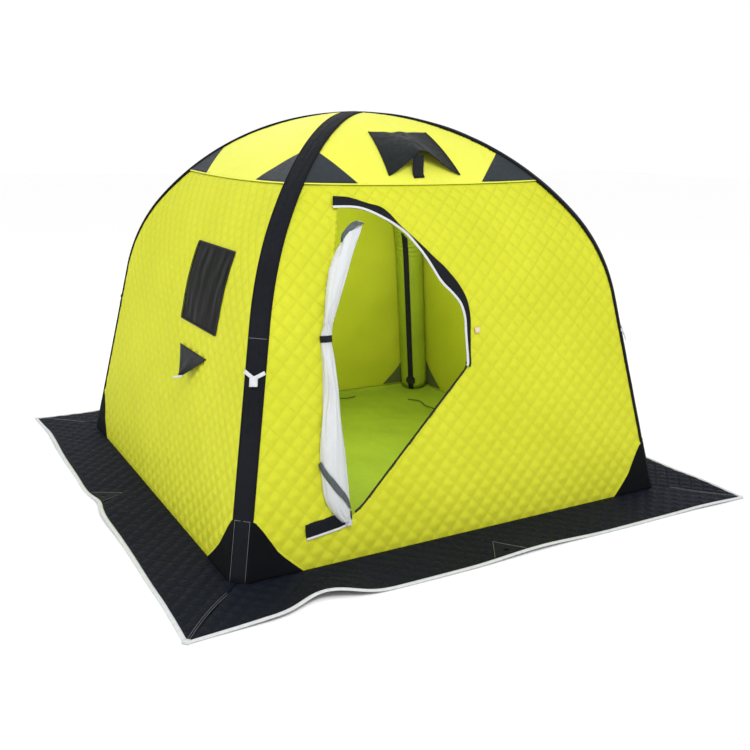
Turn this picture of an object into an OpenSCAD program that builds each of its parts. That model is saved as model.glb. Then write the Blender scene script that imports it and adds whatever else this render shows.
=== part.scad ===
// Inflatable ice fishing hut: four bent air beams carry fabric walls and roof,
// with a snow skirt round the foot and a zipped doorway in the front wall.
// Origin: middle of the footprint, on the ground. +Z up, front wall towards -Y.

/* [Overall] */
// Width across the walls at the ground
base_w = 2200; // [1800:10:2700]
// Height of the crown above the ground
height = 1750; // [1450:10:2150]
// Lean of the straight leg of each beam, in degrees
leg_lean = 15; // [12:1:18]
// Turn of the beam, from level, where the roof bend meets the shoulder bend
shoulder_start = 45; // [42:1:48]
// Radius of the shoulder bend, at the outside of the sleeve
shoulder_r = 830; // [690:10:1000]
// Turn of the beam at the seam between walls and roof
seam_turn = 36; // [32:1:40]

/* [Fabric] */
// Thickness of the quilted walls and roof
wall_t = 8; // [5:0.5:12]
// Thickness of the floor sheet
floor_t = 4; // [2:0.5:6]
// Thickness of the reinforcing patches
patch_t = 2; // [1:0.5:3]
// Clearance between separate sewn pieces
clear = 0.3; // [0.2:0.05:0.5]

/* [Air beams] */
// Diameter of an inflated beam
beam_d = 170; // [140:5:205]
// Reach of the crown joint from the middle
crown_reach = 170; // [150:5:210]
// Width of the black sleeve over each beam
sleeve_w = 80; // [66:2:96]
// Thickness of the sleeve
sleeve_t = 8; // [6:0.5:10]
// Diameter of the inflation valve
valve_d = 62; // [50:1:75]
// Height of the valve above the floor
valve_z = 95; // [80:5:150]

/* [Snow skirt] */
// Width of the skirt beyond the walls
skirt_w = 275; // [220:5:330]
// Thickness of the skirt
skirt_t = 8; // [6:0.5:12]
// Width of the binding on the outer edge
binding_w = 18; // [12:1:24]
// Distance of the peg eyelets from the outer edge
eyelet_in = 50; // [42:1:60]
// Outer diameter of a peg eyelet
eyelet_d = 34; // [28:1:42]
// Bore of a peg eyelet
eyelet_bore = 16; // [10:1:20]

/* [Doorway] */
// Height of the sill at the hinge side
sill_z = 150; // [120:5:180]
// Height of the top edge of the doorway
door_top_z = 1368; // [1330:2:1380]
// Distance of the bottom hinge corner from the middle of the wall
hinge_bottom = 788; // [700:2:830]
// Distance of the top hinge corner from the middle of the wall
hinge_top = 503; // [470:2:540]
// Distance of the closing edge past the middle of the wall
latch_x = 25; // [0:5:100]
// Width of the storm flap
flap_w = 40; // [30:2:60]
// Thickness of the storm flap
flap_t = 3; // [2:0.5:5]
// Width of the zip tape
zip_w = 14; // [10:1:20]
// Width of the door fabric left flat beside the hinge seam
fold_w = 46; // [36:2:60]
// Radius of the gathered door at its tie
tie_r = 36; // [30:1:44]
// Radius of the gathered door at its ends
gather_r = 62; // [50:2:72]
// Height of the tie
tie_z = 872; // [800:2:940]
// Width of the tie strap
tie_w = 25; // [20:1:38]

/* [Windows and vents] */
// Width of each side window
window_w = 440; // [360:5:530]
// Height of each side window, measured straight up
window_h = 334; // [270:2:400]
// Height of the sill of each side window
window_z = 845; // [800:5:900]
// Distance of the windows towards the front from the middle
window_off = 315; // [260:5:360]
// Radius of a window's corners
window_corner = 8; // [6:1:30]
// Width of the border round each window
border_w = 10; // [6:1:16]
// Width of a roof vent hood
roof_vent_w = 362; // [290:2:420]
// Length of a roof vent hood down the roof, seen from above
roof_vent_len = 245; // [210:5:300]
// Distance of the mouth of a roof vent hood from the middle of the roof
roof_vent_y = 622; // [600:2:630]
// Lift of the mouth of a roof vent hood, measured straight up
roof_vent_lift = 80; // [64:1:96]
// Width of the strap that props a roof vent hood open
strap_w = 56; // [44:2:68]
// Width of a low vent hood
low_vent_w = 335; // [280:5:400]
// Height of a low vent hood
low_vent_h = 104; // [84:2:126]
// Height of the top edge of the low vent hoods
low_vent_z = 732; // [700:2:760]
// Lift of the mouth of a low vent hood
low_vent_lift = 56; // [44:1:68]
// Thickness of the hood fabric
hood_t = 3; // [2:0.5:5]

/* [Patches and guy loops] */
// Height of the foot patches on the sleeves
boot_h = 240; // [200:5:290]
// Reach of the foot patches along the ground
boot_reach = 250; // [200:5:300]
// Rise of the roof gussets above the wall seam
gusset_rise = 108; // [90:2:130]
// Reach of the roof gussets along the seam, from the edge of the sleeve
gusset_reach = 255; // [210:5:300]
// Height of the guy loops
guy_z = 748; // [700:2:800]
// Width of the guy loop's tab
guy_tab = 34; // [28:1:42]

/* [Hidden] */

$fn = 64;
root2 = sqrt(2);
far = 2 * base_w;
band_step = 3;

yellow = [0.86, 0.88, 0.2];
bright_yellow = [0.95, 0.97, 0.3];
black = [0.13, 0.14, 0.17];
white = [0.92, 0.92, 0.9];
olive = [0.5, 0.55, 0.13];

// --- the arch, in the upright plane through two opposite corners ---------------------------
beam_r = beam_d / 2;
leg_turn = 90 - leg_lean;
sleeve_off = sleeve_t + clear + beam_r;      // sleeve's outside to beam's axis
wall_off = beam_r + clear + wall_t;          // wall's outside to beam's axis
leg_flat = norm([cos(leg_turn) / root2, sin(leg_turn)]);
foot_r = root2 * (base_w / 2 - wall_off * leg_flat / sin(leg_turn)) + sleeve_off / sin(leg_turn);
bend = cos(leg_turn - shoulder_start);
roof_r = (sin(leg_turn) * foot_r - cos(leg_turn) * height - shoulder_r * (1 - bend))
    / (bend - cos(leg_turn));
shoulder_c = [(roof_r - shoulder_r) * sin(shoulder_start),
              height - roof_r + (roof_r - shoulder_r) * cos(shoulder_start)];
roof_c = [0, height - roof_r];

function turn_dir(t) = [sin(t), cos(t)];
// A point that lies `off` inside the sleeve's outer line, where the beam has turned by t
function arch(t, off) = t <= shoulder_start
    ? roof_c + (roof_r - off) * turn_dir(t)
    : shoulder_c + (shoulder_r - off) * turn_dir(t);

// --- the panel section: the beam's axis seen square to a wall, moved out by `out` ----------
function section(t, out) =
    let (a = arch(t, sleeve_off), n = norm([sin(t), cos(t) / root2]))
    [a.x / root2 + out * sin(t) / n, a.y + out * cos(t) / root2 / n];
function foot_of(p) = [p.x + p.y * cos(leg_turn) / root2 / sin(leg_turn), 0];
function turns(t0, t1) = [for (i = [0 : ceil((t1 - t0) / band_step)])
    t0 + (t1 - t0) * i / ceil((t1 - t0) / band_step)];
function section_line(t0, t1, out) =
    let (line = [for (t = turns(t0, t1)) section(t, out)])
    t1 < leg_turn ? line : concat(line, [foot_of(line[len(line) - 1])]);
function reversed(list) = [for (i = [len(list) - 1 : -1 : 0]) list[i]];

outer_table = [for (p = reversed(section_line(0, leg_turn, wall_off))) [p.y, p.x]];
// Distance of the walls' outer face from the middle, at height z
function face_y(z) = lookup(z, outer_table);
roof_table = [for (p = section_line(0, leg_turn, wall_off)) [p.x, p.y]];
// Height of the roof's outer face at distance y from the middle
function face_z(y) = lookup(y, roof_table);

seam_z = section(seam_turn, wall_off).y;
edge_in = root2 * (sleeve_w / 2 + clear);    // a panel's edge, inwards from the corner
skirt_out = base_w / 2 + skirt_w;

// The doorway and the guy loops are given on a hut of this size, and are stretched to this one
design_w = 2200;
design_seam = 1455.86;
design_leg = 942.79;
wide = base_w / design_w;
tall = seam_z / design_seam;
guy_at = guy_z * arch(leg_turn, 0).y / design_leg;

// --- rounded outlines -----------------------------------------------------------------------
// Each corner is [x, z, radius], anticlockwise; grow moves the whole outline outwards
function unit(v) = v / norm(v);
function corner_arc(a, b, c, r, grow) =
    let (u = unit(a - b), v = unit(c - b), half = acos(u * v) / 2,
         mid = b + unit(u + v) * r / sin(half), from = b + u * r / tan(half) - mid,
         t0 = atan2(from.y, from.x), n = max(2, ceil((180 - 2 * half) / 7)))
    [for (i = [0 : n]) mid + (r + grow) * [cos(t0 + (180 - 2 * half) * i / n),
                                          sin(t0 + (180 - 2 * half) * i / n)]];
function flat(p) = [p.x, p.y];
function outline(corners, grow = 0) =
    let (n = len(corners))
    [for (i = [0 : n - 1]) each corner_arc(flat(corners[(i + n - 1) % n]), flat(corners[i]),
        flat(corners[(i + 1) % n]), corners[i][2], grow)];

latch_top = 985;                             // corners of the closing edge, up the wall
latch_bottom = 705;
head_x = 300;                                // where the top edge starts to fall away
sill_x = 575;                                // closing end of the sill
sill_rise = 20;
sill_round = 280;
hinge_mid = [-655, 880, 900];
door = [[-hinge_bottom, sill_z, 30], [-sill_x, sill_z + sill_rise, sill_round],
        [latch_x, latch_bottom, 60], [latch_x, latch_top, 280],
        [-head_x, door_top_z, 300], [-hinge_top, door_top_z, 30], hinge_mid];
window = let (y = window_w / 2)
    [[-y, window_z, window_corner], [y, window_z, window_corner],
     [y, window_z + window_h, window_corner], [-y, window_z + window_h, window_corner]];

// --- helpers --------------------------------------------------------------------------------
module quarter(k) {
    rotate([0, 0, 90 * k]) children();
}

// The layer of a panel between two distances from the beam's axis, square to the front wall
module layer(inner, outer, t0, t1) {
    points = concat(section_line(t0, t1, outer), reversed(section_line(t0, t1, inner)));
    rotate([90, 0, 90])
        linear_extrude(far, center = true)
            polygon([for (p = points) [-p.x, p.y]]);
}

// Everything in front of the two corner planes, kept `gap` off them
module sector(gap) {
    linear_extrude(2 * height)
        polygon([[0, -gap], [far, -far - gap], [-far, -far - gap]]);
}

// A shape drawn on the front elevation, carried through the wall
module elevation(points) {
    rotate([90, 0, 0]) linear_extrude(far) polygon(points);
}

module door_elevation(points) {
    elevation([for (p = points) [p.x * wide, p.y * tall]]);
}

module panel(t0, t1) {
    intersection() {
        layer(wall_off - wall_t, wall_off, t0, t1);
        sector(edge_in);
    }
}

module patch_layer(t0, t1, thick) {
    layer(wall_off + clear, wall_off + clear + thick, t0, t1);
}

module under_face(reach) {
    layer(wall_off - 5 * wall_t, wall_off + reach, 0, leg_turn);
}

// The skin through equal rings of points, with the given faces closing each end
module skin(rings, cap) {
    n = len(rings[0]);
    last = n * (len(rings) - 1);
    sides = [for (i = [0 : len(rings) - 2], j = [0 : n - 1])
        each [[i * n + j, (i + 1) * n + j, i * n + (j + 1) % n],
              [i * n + (j + 1) % n, (i + 1) * n + j, (i + 1) * n + (j + 1) % n]]];
    polyhedron([for (ring = rings) each ring],
               concat(sides, cap, [for (f = cap) reversed([for (v = f) v + last])]));
}

// A point of a section carried along the arch: p.x is inwards, p.y is across
function carried(t, off, p) =
    let (c = arch(t, off + p.x)) [c.x, p.y, c.y];
// The same point where the straight leg reaches height z
function landed(z, off, p) =
    let (c = arch(leg_turn, off + p.x), drop = (c.y - z) / tan(leg_turn)) [c.x + drop, p.y, z];

// --- frame ----------------------------------------------------------------------------------
crown_turn = asin(crown_reach / (roof_r - sleeve_off));
chord_sag = roof_r * (1 - cos(band_step / 2));
stations = turns(band_step, leg_turn);       // turns at which beams and sleeves have a ring
beam_sides = 32;
beam_section = [for (i = [0 : beam_sides - 1])
    beam_r * [cos(360 * i / beam_sides), sin(360 * i / beam_sides)]];

module beam(k) {
    rings = concat(
        [for (t = concat([crown_turn], [for (s = stations) if (s > crown_turn + 0.5) s]))
            [for (p = beam_section) carried(t, sleeve_off, p)]],
        [[for (p = beam_section) landed(floor_t, sleeve_off, p)]]);
    quarter(k) rotate([0, 0, -135])
        color(olive) skin(rings, [[for (i = [0 : beam_sides - 1]) i]]);
}

module crown_joint() {
    stub_turn = crown_turn - clear / roof_r * 180 / PI;
    color(olive)
        for (a = [45, 135])
            rotate([0, 0, a])
                translate([roof_c.x, 0, roof_c.y])
                    rotate([90, 0, 0])
                        rotate([0, 0, 90 - stub_turn])
                            rotate_extrude(angle = 2 * stub_turn, $fn = 180)
                                translate([roof_r - sleeve_off, 0])
                                    circle(d = beam_d - 2 * chord_sag);
}

// The sleeve lies on the beam and meets the other three in a mitre at the crown
module sleeve(k) {
    half = sleeve_w / 2;
    section = [[0, half], [0, 0], [0, -half], [sleeve_t, -half], [sleeve_t, 0], [sleeve_t, half]];
    mitre = [for (p = section)
        carried(asin((abs(p.y) + root2 * clear) / (roof_r - p.x)), 0, p)];
    rings = concat(
        [mitre],
        [for (t = stations) [for (p = section) carried(t, 0, p)]],
        [[for (p = section) landed(0, 0, p)]]);
    quarter(k) rotate([0, 0, -135])
        color(black) skin(rings, [[0, 1, 4, 5], [1, 2, 3, 4]]);
}

module inflation_valve() {
    at = valve_z - floor_t;
    foot = arch(leg_turn, sleeve_off);
    down = (foot.y - valve_z) / sin(leg_turn);
    color(black)
        rotate([0, 0, 45])
            translate([foot.x + down * cos(leg_turn), 0, valve_z])
                rotate([0, leg_turn - 180, 0])
                    translate([0, 0, beam_r + clear]) {
                        cylinder(d = valve_d, h = 6);
                        cylinder(d = valve_d * 0.72, h = 16);
                    }
}

// --- floor and snow skirt -------------------------------------------------------------------
module footprint(half, reach) {
    intersection() {
        square(2 * half, center = true);
        rotate(45) square(2 * reach, center = true);
    }
}

module floor_sheet() {
    lean = cos(leg_turn) / root2 / sin(leg_turn);
    color(olive)
        linear_extrude(floor_t)
            footprint(foot_of(section(leg_turn, wall_off - wall_t)).x - floor_t * lean - clear,
                      foot_r - (sleeve_t + floor_t * cos(leg_turn)) / sin(leg_turn) - clear);
}

module eyelet_place() {
    translate([0, -(skirt_out - eyelet_in), 0]) children();
}

// How far the hut's foot reaches along its diagonal, at the sleeves or at the walls' edges
corner_reach = max(foot_r, (base_w - edge_in) / root2);

module skirt(k) {
    quarter(k)
        color(black)
            difference() {
                linear_extrude(skirt_t)
                    intersection() {
                        polygon([[0, -clear], [far, -far - clear], [-far, -far - clear]]);
                        difference() {
                            square(2 * (skirt_out - binding_w - clear), center = true);
                            footprint(base_w / 2 + clear, corner_reach + clear);
                            for (a = [45, 135])
                                rotate(a)
                                    square([2 * (foot_r + clear), sleeve_w + 2 * clear],
                                           center = true);
                        }
                    }
                eyelet_place()
                    translate([0, 0, -1]) cylinder(d = eyelet_d + 2 * clear, h = skirt_t + 2);
            }
}

module skirt_binding() {
    color(white)
        linear_extrude(skirt_t + 1)
            difference() {
                square(2 * skirt_out, center = true);
                square(2 * (skirt_out - binding_w), center = true);
            }
}

module peg_eyelets() {
    color(black)
        for (k = [0 : 3])
            quarter(k) eyelet_place()
                difference() {
                    cylinder(d = eyelet_d, h = skirt_t + 2);
                    translate([0, 0, -1]) cylinder(d = eyelet_bore, h = skirt_t + 4);
                }
}

// --- walls and roof -------------------------------------------------------------------------
// The front wall is cut beside, over and under the doorway along these lines
split_z = (latch_top + latch_bottom) / 2;
hub = [-350, split_z];
side_x = latch_x + 60;
hinge_foot = [-hinge_bottom + 50, sill_z + 20];
hinge_head = [-hinge_top + 60, door_top_z - 20];

module front_piece(region) {
    color(yellow)
        difference() {
            intersection() {
                panel(seam_turn, leg_turn);
                door_elevation(region);
            }
            door_elevation(outline(door));
        }
}

module front_wall_hinge_side() {
    front_piece([[-far, -1], [hinge_foot.x, -1], hinge_foot, hub, hinge_head,
                 [hinge_head.x, far], [-far, far]]);
}

module front_wall_head() {
    front_piece([[hinge_head.x, far], hinge_head, hub, [side_x, split_z], [side_x, far]]);
}

module front_wall_zip_side() {
    front_piece([[side_x, -1], [far, -1], [far, far], [side_x, far]]);
}

module front_wall_base() {
    front_piece([[hinge_foot.x, -1], [side_x, -1], [side_x, split_z], hub, hinge_foot]);
}

// On the side walls the windows stand `off` towards the front, which is +X on the left wall
// seen from outside and -X on the right wall
module window_place(off) {
    translate([off, 0, 0]) children();
}

module side_wall(k, off) {
    quarter(k)
        color(yellow)
            difference() {
                panel(seam_turn, leg_turn);
                window_place(off) elevation(outline(window));
            }
}

module back_wall() {
    quarter(2) color(yellow) panel(seam_turn, leg_turn);
}

module roof(k) {
    quarter(k) color(bright_yellow) panel(0, seam_turn);
}

// --- black patches --------------------------------------------------------------------------
module both_ways() {
    children();
    mirror([1, 0, 0]) children();
}

// The two patches of the corner between wall k and the next one, one on each side of the sleeve
module corner_pair(k) {
    quarter(k) children();
    quarter(k + 1) mirror([1, 0, 0]) children();
}

module gusset(k) {
    top_z = seam_z + gusset_rise;
    seam_x = face_y(seam_z) - edge_in;
    color(black)
        corner_pair(k)
            intersection() {
                patch_layer(0, seam_turn, patch_t);
                sector(edge_in);
                elevation([[seam_x - gusset_reach, seam_z - 1], [far, seam_z - 1],
                           [far, top_z], [face_y(top_z) - edge_in, top_z]]);
            }
}

module boot(k) {
    ground_x = base_w / 2 - edge_in;
    color(black)
        corner_pair(k)
            intersection() {
                patch_layer(seam_turn, leg_turn, patch_t);
                sector(edge_in);
                elevation([[ground_x - boot_reach, skirt_t + clear], [far, skirt_t + clear],
                           [far, boot_h], [face_y(boot_h) - edge_in, boot_h],
                           [ground_x - boot_reach * 0.45, boot_h * 0.36]]);
            }
}

// --- windows --------------------------------------------------------------------------------
module window_film(k, off) {
    mid = wall_off - wall_t / 2;
    quarter(k)
        color([0.2, 0.2, 0.2])
            intersection() {
                layer(mid - 1, mid + 1, seam_turn, leg_turn);
                window_place(off) elevation(outline(window, -clear));
            }
}

module window_border(k, off) {
    quarter(k)
        color(black)
            intersection() {
                patch_layer(seam_turn, leg_turn, patch_t);
                window_place(off)
                    difference() {
                        elevation(outline(window, border_w));
                        elevation(outline(window, -clear));
                    }
            }
}

// --- vents ----------------------------------------------------------------------------------
peak_half = 20;                              // half the flat top of a roof vent's mouth
peak_back = 22;                              // how far that top stands behind the mouth's ends
strap_reach = 8;                             // how far the strap's foot stands in front of them

// A fabric hood that is sewn down along its back edge and stands open at its mouth. `edge`
// holds the points of its +X side, from the back edge to the mouth, and `peak` is the +X end
// of the lifted middle of the mouth. `out` points away from the panel, `forward` out of the mouth.
module hood_block(edge, peak, sink) {
    hull()
        for (p = concat([peak, peak + sink], edge, [for (q = edge) q + sink]), side = [-1, 1])
            translate([side * p.x, p.y, p.z]) cube(0.5, center = true);
}

module hood(edge, peak, out, forward) {
    sink = -(hood_t + clear + wall_t / 2) * out;
    inset = [-2 * hood_t, 0, 0] - hood_t * out;
    difference() {
        hood_block(edge, peak, sink);
        hood_block([for (i = [0 : len(edge) - 1])
                        edge[i] + inset + (i == 0 ? 1 : 5) * hood_t * forward],
                   peak - hood_t * out + 5 * hood_t * forward, sink);
        under_face(clear);
    }
}

module roof_vent() {
    back_y = roof_vent_y - roof_vent_len;
    mid_y = roof_vent_y - roof_vent_len / 2;
    peak_y = roof_vent_y - peak_back;
    peak_z = face_z(peak_y) + roof_vent_lift;
    foot_y = roof_vent_y + strap_reach;
    slope = atan2(face_z(back_y) - face_z(roof_vent_y), roof_vent_len);
    out = [0, -sin(slope), cos(slope)];
    forward = [0, -cos(slope), -sin(slope)];
    edge = [for (p = [[0.41, back_y], [0.455, mid_y], [0.5, roof_vent_y]])
        [roof_vent_w * p.x, -p.y, face_z(p.y)] + (hood_t + clear) * out];
    hood(edge, [peak_half, -peak_y, peak_z], out, forward);
    difference() {                           // strap that props the mouth open
        rotate([90, 0, 90])
            linear_extrude(strap_w, center = true)
                polygon([[-peak_y, peak_z - hood_t], [-peak_y + 2 * hood_t, peak_z - hood_t],
                         [-foot_y + 2 * hood_t, face_z(foot_y)], [-foot_y, face_z(foot_y)]]);
        under_face(clear);
    }
}

module low_vent() {
    foot_z = low_vent_z - low_vent_h;
    lean = atan(cos(leg_turn) / root2 / sin(leg_turn));
    out = [0, -cos(lean), sin(lean)];
    edge = [for (p = [[0.5, low_vent_z], [0.12, foot_z + 0.3 * low_vent_h]])
        [low_vent_w * p.x, -face_y(p.y), p.y] + (hood_t + clear) * out];
    hood(edge, [0, -face_y(foot_z), foot_z] + low_vent_lift * out, out,
         [0, -sin(lean), -cos(lean)]);
}

module roof_vents() {
    color(black)
        for (k = [0, 2])
            quarter(k) roof_vent();
}

module low_vents() {
    color(black) {
        quarter(3) window_place(window_off) low_vent();
        quarter(1) window_place(-window_off) low_vent();
    }
}

// --- doorway --------------------------------------------------------------------------------
module flap_clip(points, thick) {
    intersection() {
        patch_layer(seam_turn, leg_turn, thick);
        door_elevation(points);
        children();
    }
}

module storm_flap() {
    color(black) {
        flap_clip([[-hinge_top, latch_bottom], [far, latch_bottom], [far, far], [-hinge_top, far]],
                  flap_t)
            difference() {
                door_elevation(outline(door, flap_w));
                door_elevation(outline(door, clear));
            }
        flap_clip([[-hinge_bottom, sill_z - 22], [-sill_x + 24, sill_z - 6],
                   [-sill_x - 10, sill_z + sill_rise + 16], [-hinge_bottom, sill_z + 28]], flap_t)
            door_elevation([[-far, 0], [far, 0], [far, far], [-far, far]]);
    }
}

module zip_tape() {
    mid = wall_off - wall_t / 2;
    color(black)
        intersection() {
            layer(mid - 1.5, mid + 1.5, seam_turn, leg_turn);
            difference() {
                door_elevation(outline(door, -clear));
                door_elevation(outline(door, -zip_w));
            }
            door_elevation([[-sill_x + 40, -1], [far, -1], [far, far], [-hinge_top + fold_w + 40, far],
                       [-hinge_top + fold_w + 40, door_top_z - 200], hub]);
        }
}

// The open door hangs gathered from the hinge seam and is tied round its waist
gather_low = [-hinge_bottom + gather_r + 72, sill_z + gather_r + 40];
gather_tie = [-620, tie_z];
gather_top = [-hinge_top + gather_r + 18, door_top_z - 110];

module roll_place(p) {
    translate([p.x * wide, -face_y(p.y * tall) + 30, p.y * tall]) children();
}

module gather_run(a, b) {
    hull() {
        roll_place(a) sphere(r = a == gather_tie ? tie_r : gather_r, $fn = 32);
        roll_place(b) sphere(r = b == gather_tie ? tie_r : gather_r, $fn = 32);
    }
}

module tie_frame() {
    roll_place(gather_tie) rotate([-leg_lean * 0.72, 10, 0]) children();
}

module door_roll() {
    color(white)
        difference() {
            union() {
                gather_run(gather_low, gather_tie);
                gather_run(gather_tie, gather_top);
                intersection() {
                    layer(wall_off - wall_t, wall_off, seam_turn, leg_turn);
                    difference() {
                        door_elevation(outline(door, -clear));
                        translate([fold_w, 0, 0]) door_elevation(outline(door, -clear));
                    }
                }
            }
            tie_frame()
                difference() {
                    cylinder(r = tie_r + 60, h = tie_w + 2 * clear, center = true);
                    cylinder(r = tie_r - 4, h = tie_w + 4, center = true);
                }
        }
}

module door_tie() {
    color(black)
        tie_frame()
            difference() {
                cylinder(r = tie_r - 4 + clear + 3, h = tie_w, center = true);
                cylinder(r = tie_r - 4 + clear, h = tie_w + 2, center = true);
            }
}

// --- guy loops ------------------------------------------------------------------------------
guy_rise = 0.42;                             // rise of the loop's arms, in sleeve widths

module guy_loop(k) {
    end = arch(leg_turn, 0);
    down = (end.y - guy_at) / sin(leg_turn);
    half = sleeve_w / 2;
    rise = guy_rise * sleeve_w;
    quarter(k) rotate([0, 0, -135])
        translate([end.x + down * cos(leg_turn), 0, guy_at])
            rotate([0, leg_turn, 0])
                translate([0, 0, clear])
                    difference() {
                        union() {
                            for (s = [-1, 1])
                                linear_extrude(2)
                                    polygon([[0, 0], [-rise, s * half],
                                             [-rise - 15, s * half], [-15, -s * 6]]);
                            translate([-guy_tab / 2, -guy_tab / 2, 0])
                                cube([guy_tab, guy_tab, 6]);
                        }
                        cylinder(d = guy_tab / 2, h = 20, center = true);
                    }
}

floor_sheet();  // floor
crown_joint();
beam(0);  // beam_front_left
beam(1);  // beam_front_right
beam(2);  // beam_back_right
beam(3);  // beam_back_left
sleeve(0);  // sleeve_front_left
sleeve(1);  // sleeve_front_right
sleeve(2);  // sleeve_back_right
sleeve(3);  // sleeve_back_left
front_wall_hinge_side();
front_wall_head();
front_wall_zip_side();
front_wall_base();
side_wall(1, -window_off);  // right_wall
back_wall();
side_wall(3, window_off);  // left_wall
roof(0);  // roof_front
roof(1);  // roof_right
roof(2);  // roof_back
roof(3);  // roof_left
gusset(3);  // gusset_front_left
gusset(0);  // gusset_front_right
gusset(1);  // gusset_back_right
gusset(2);  // gusset_back_left
boot(3);  // boot_front_left
boot(0);  // boot_front_right
boot(1);  // boot_back_right
boot(2);  // boot_back_left
skirt(0);  // skirt_front
skirt(1);  // skirt_right
skirt(2);  // skirt_back
skirt(3);  // skirt_left
skirt_binding();
window_film(3, window_off);  // window_left
window_film(1, -window_off);  // window_right
union() {  // window_borders
    window_border(3, window_off);
    window_border(1, -window_off);
}
roof_vents();
low_vents();
door_roll();
door_tie();
storm_flap();
zip_tape();
for (k = [0 : 3]) guy_loop(k);  // guy_loops
peg_eyelets();
inflation_valve();
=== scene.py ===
"""Looks of an inflatable ice fishing hut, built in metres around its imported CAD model.

A point of a wall or roof panel is (x, s, out): x runs across the panel, s is the length along the
panel's upright section from the ground to the crown, and out is the height above the panel's face.
Side 0 is the front wall (-Y), 1 the right (+X), 2 the back and 3 the left.
"""

import math

import bpy
import numpy as np
from mathutils import Matrix, Vector


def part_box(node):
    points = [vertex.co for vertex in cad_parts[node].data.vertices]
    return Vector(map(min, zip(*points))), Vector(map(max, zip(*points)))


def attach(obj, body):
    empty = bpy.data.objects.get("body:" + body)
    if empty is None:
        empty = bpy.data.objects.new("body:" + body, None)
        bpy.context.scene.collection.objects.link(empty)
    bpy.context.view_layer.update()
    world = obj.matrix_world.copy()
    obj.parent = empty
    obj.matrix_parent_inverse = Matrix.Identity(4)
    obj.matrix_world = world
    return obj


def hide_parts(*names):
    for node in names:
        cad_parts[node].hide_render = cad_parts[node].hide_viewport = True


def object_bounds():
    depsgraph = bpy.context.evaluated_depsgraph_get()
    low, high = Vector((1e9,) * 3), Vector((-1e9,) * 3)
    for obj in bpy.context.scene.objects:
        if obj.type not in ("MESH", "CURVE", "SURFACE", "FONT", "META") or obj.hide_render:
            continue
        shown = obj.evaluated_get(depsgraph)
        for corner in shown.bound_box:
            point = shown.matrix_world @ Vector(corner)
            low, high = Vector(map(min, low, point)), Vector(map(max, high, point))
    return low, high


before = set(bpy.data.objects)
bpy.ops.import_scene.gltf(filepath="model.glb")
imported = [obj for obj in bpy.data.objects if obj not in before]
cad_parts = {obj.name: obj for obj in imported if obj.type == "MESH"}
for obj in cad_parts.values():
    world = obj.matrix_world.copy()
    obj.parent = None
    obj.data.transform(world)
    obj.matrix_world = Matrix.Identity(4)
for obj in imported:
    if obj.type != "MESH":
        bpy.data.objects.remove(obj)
CAD_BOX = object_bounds()
SIDES = ("front", "right", "back", "left")
CORNERS = ("front_left", "front_right", "back_right", "back_left")
UP = np.array([0, 0, 1.0])
TAU = 2 * math.pi

# --- the hut's form -------------------------------------------------------------------------
HEIGHT = CAD_BOX[1].z
SKIRT_OUT = CAD_BOX[1].x
FOOT = -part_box("front_wall_zip_side")[0].y
ROOT2 = math.sqrt(2)
LEG_TURN = math.radians(75)
SHOULDER_TURN = math.radians(45)
SHOULDER_R = 0.83
BEAM_R = 0.085
SEWN_GAP = 0.0003
SLEEVE_T = 0.008
WALL_T = 0.008
SLEEVE_HALF = 0.04
SLEEVE_OFF = SLEEVE_T + SEWN_GAP + BEAM_R
WALL_OFF = WALL_T + SEWN_GAP + BEAM_R
EDGE_IN = ROOT2 * (SLEEVE_HALF + SEWN_GAP)
UNDER = 0.006                 # how far the panels tuck under the sleeves
SEAM_BOW = 0.012              # how far the seam under the roof bows down

leg_flat = math.hypot(math.cos(LEG_TURN) / ROOT2, math.sin(LEG_TURN))
FOOT_R = ROOT2 * (FOOT - WALL_OFF * leg_flat / math.sin(LEG_TURN)) + SLEEVE_OFF / math.sin(LEG_TURN)
bend = math.cos(LEG_TURN - SHOULDER_TURN)
ROOF_R = (
    math.sin(LEG_TURN) * FOOT_R - math.cos(LEG_TURN) * HEIGHT - SHOULDER_R * (1 - bend)
) / (bend - math.cos(LEG_TURN))

# --- quilting, windows, hoods and doorway ---------------------------------------------------
PITCH = 0.078                 # width of a quilted diamond
STEPS = 8                     # grid cells across a diamond
CELL = PITCH / STEPS
QUILT_PUFF = 0.0065           # how far a diamond's middle stands above its stitches
SKIRT_T = 0.008
BOOT_TOP = 0.240
WINDOW_OFF = 0.315            # windows and low vents stand this far towards the front
WINDOW_HALF = 0.220
WINDOW_Z = (0.845, 1.179)
WINDOW_BOW = 0.009            # the window's taut edges bend towards the front
HOOD_Y = (0.377, 0.622)       # a roof vent's hood: its back and its mouth, from the middle
HOOD_HALF = (0.148, 0.181)    # half its width there
HOOD_CRUMPLE = 0.0022
DOOR = [                      # corners of the doorway's edge: x, z, radius
    (-0.788, 0.150, 0.03), (-0.575, 0.170, 0.28), (0.025, 0.705, 0.06), (0.025, 0.985, 0.28),
    (-0.300, 1.368, 0.30), (-0.503, 1.368, 0.03), (-0.655, 0.880, 0.90),
]
HINGE_FOLD = [                # where the yellow cloth folds in beside the open door
    (-0.670, 0.162, 0.01), (-0.575, 0.170, 0.26), (0.025, 0.705, 0.06), (0.025, 0.985, 0.28),
    (-0.300, 1.368, 0.30), (-0.478, 1.368, 0.03), (-0.540, 1.220, 0.3), (-0.640, 0.870, 0.6),
    (-0.655, 0.420, 0.5),
]
FLAP_START = -0.504
FLAP_SKEW = 0.40              # the flap's end is cut along the hut's upright line, not square
FLAP_LOW_Z = 0.708
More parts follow.
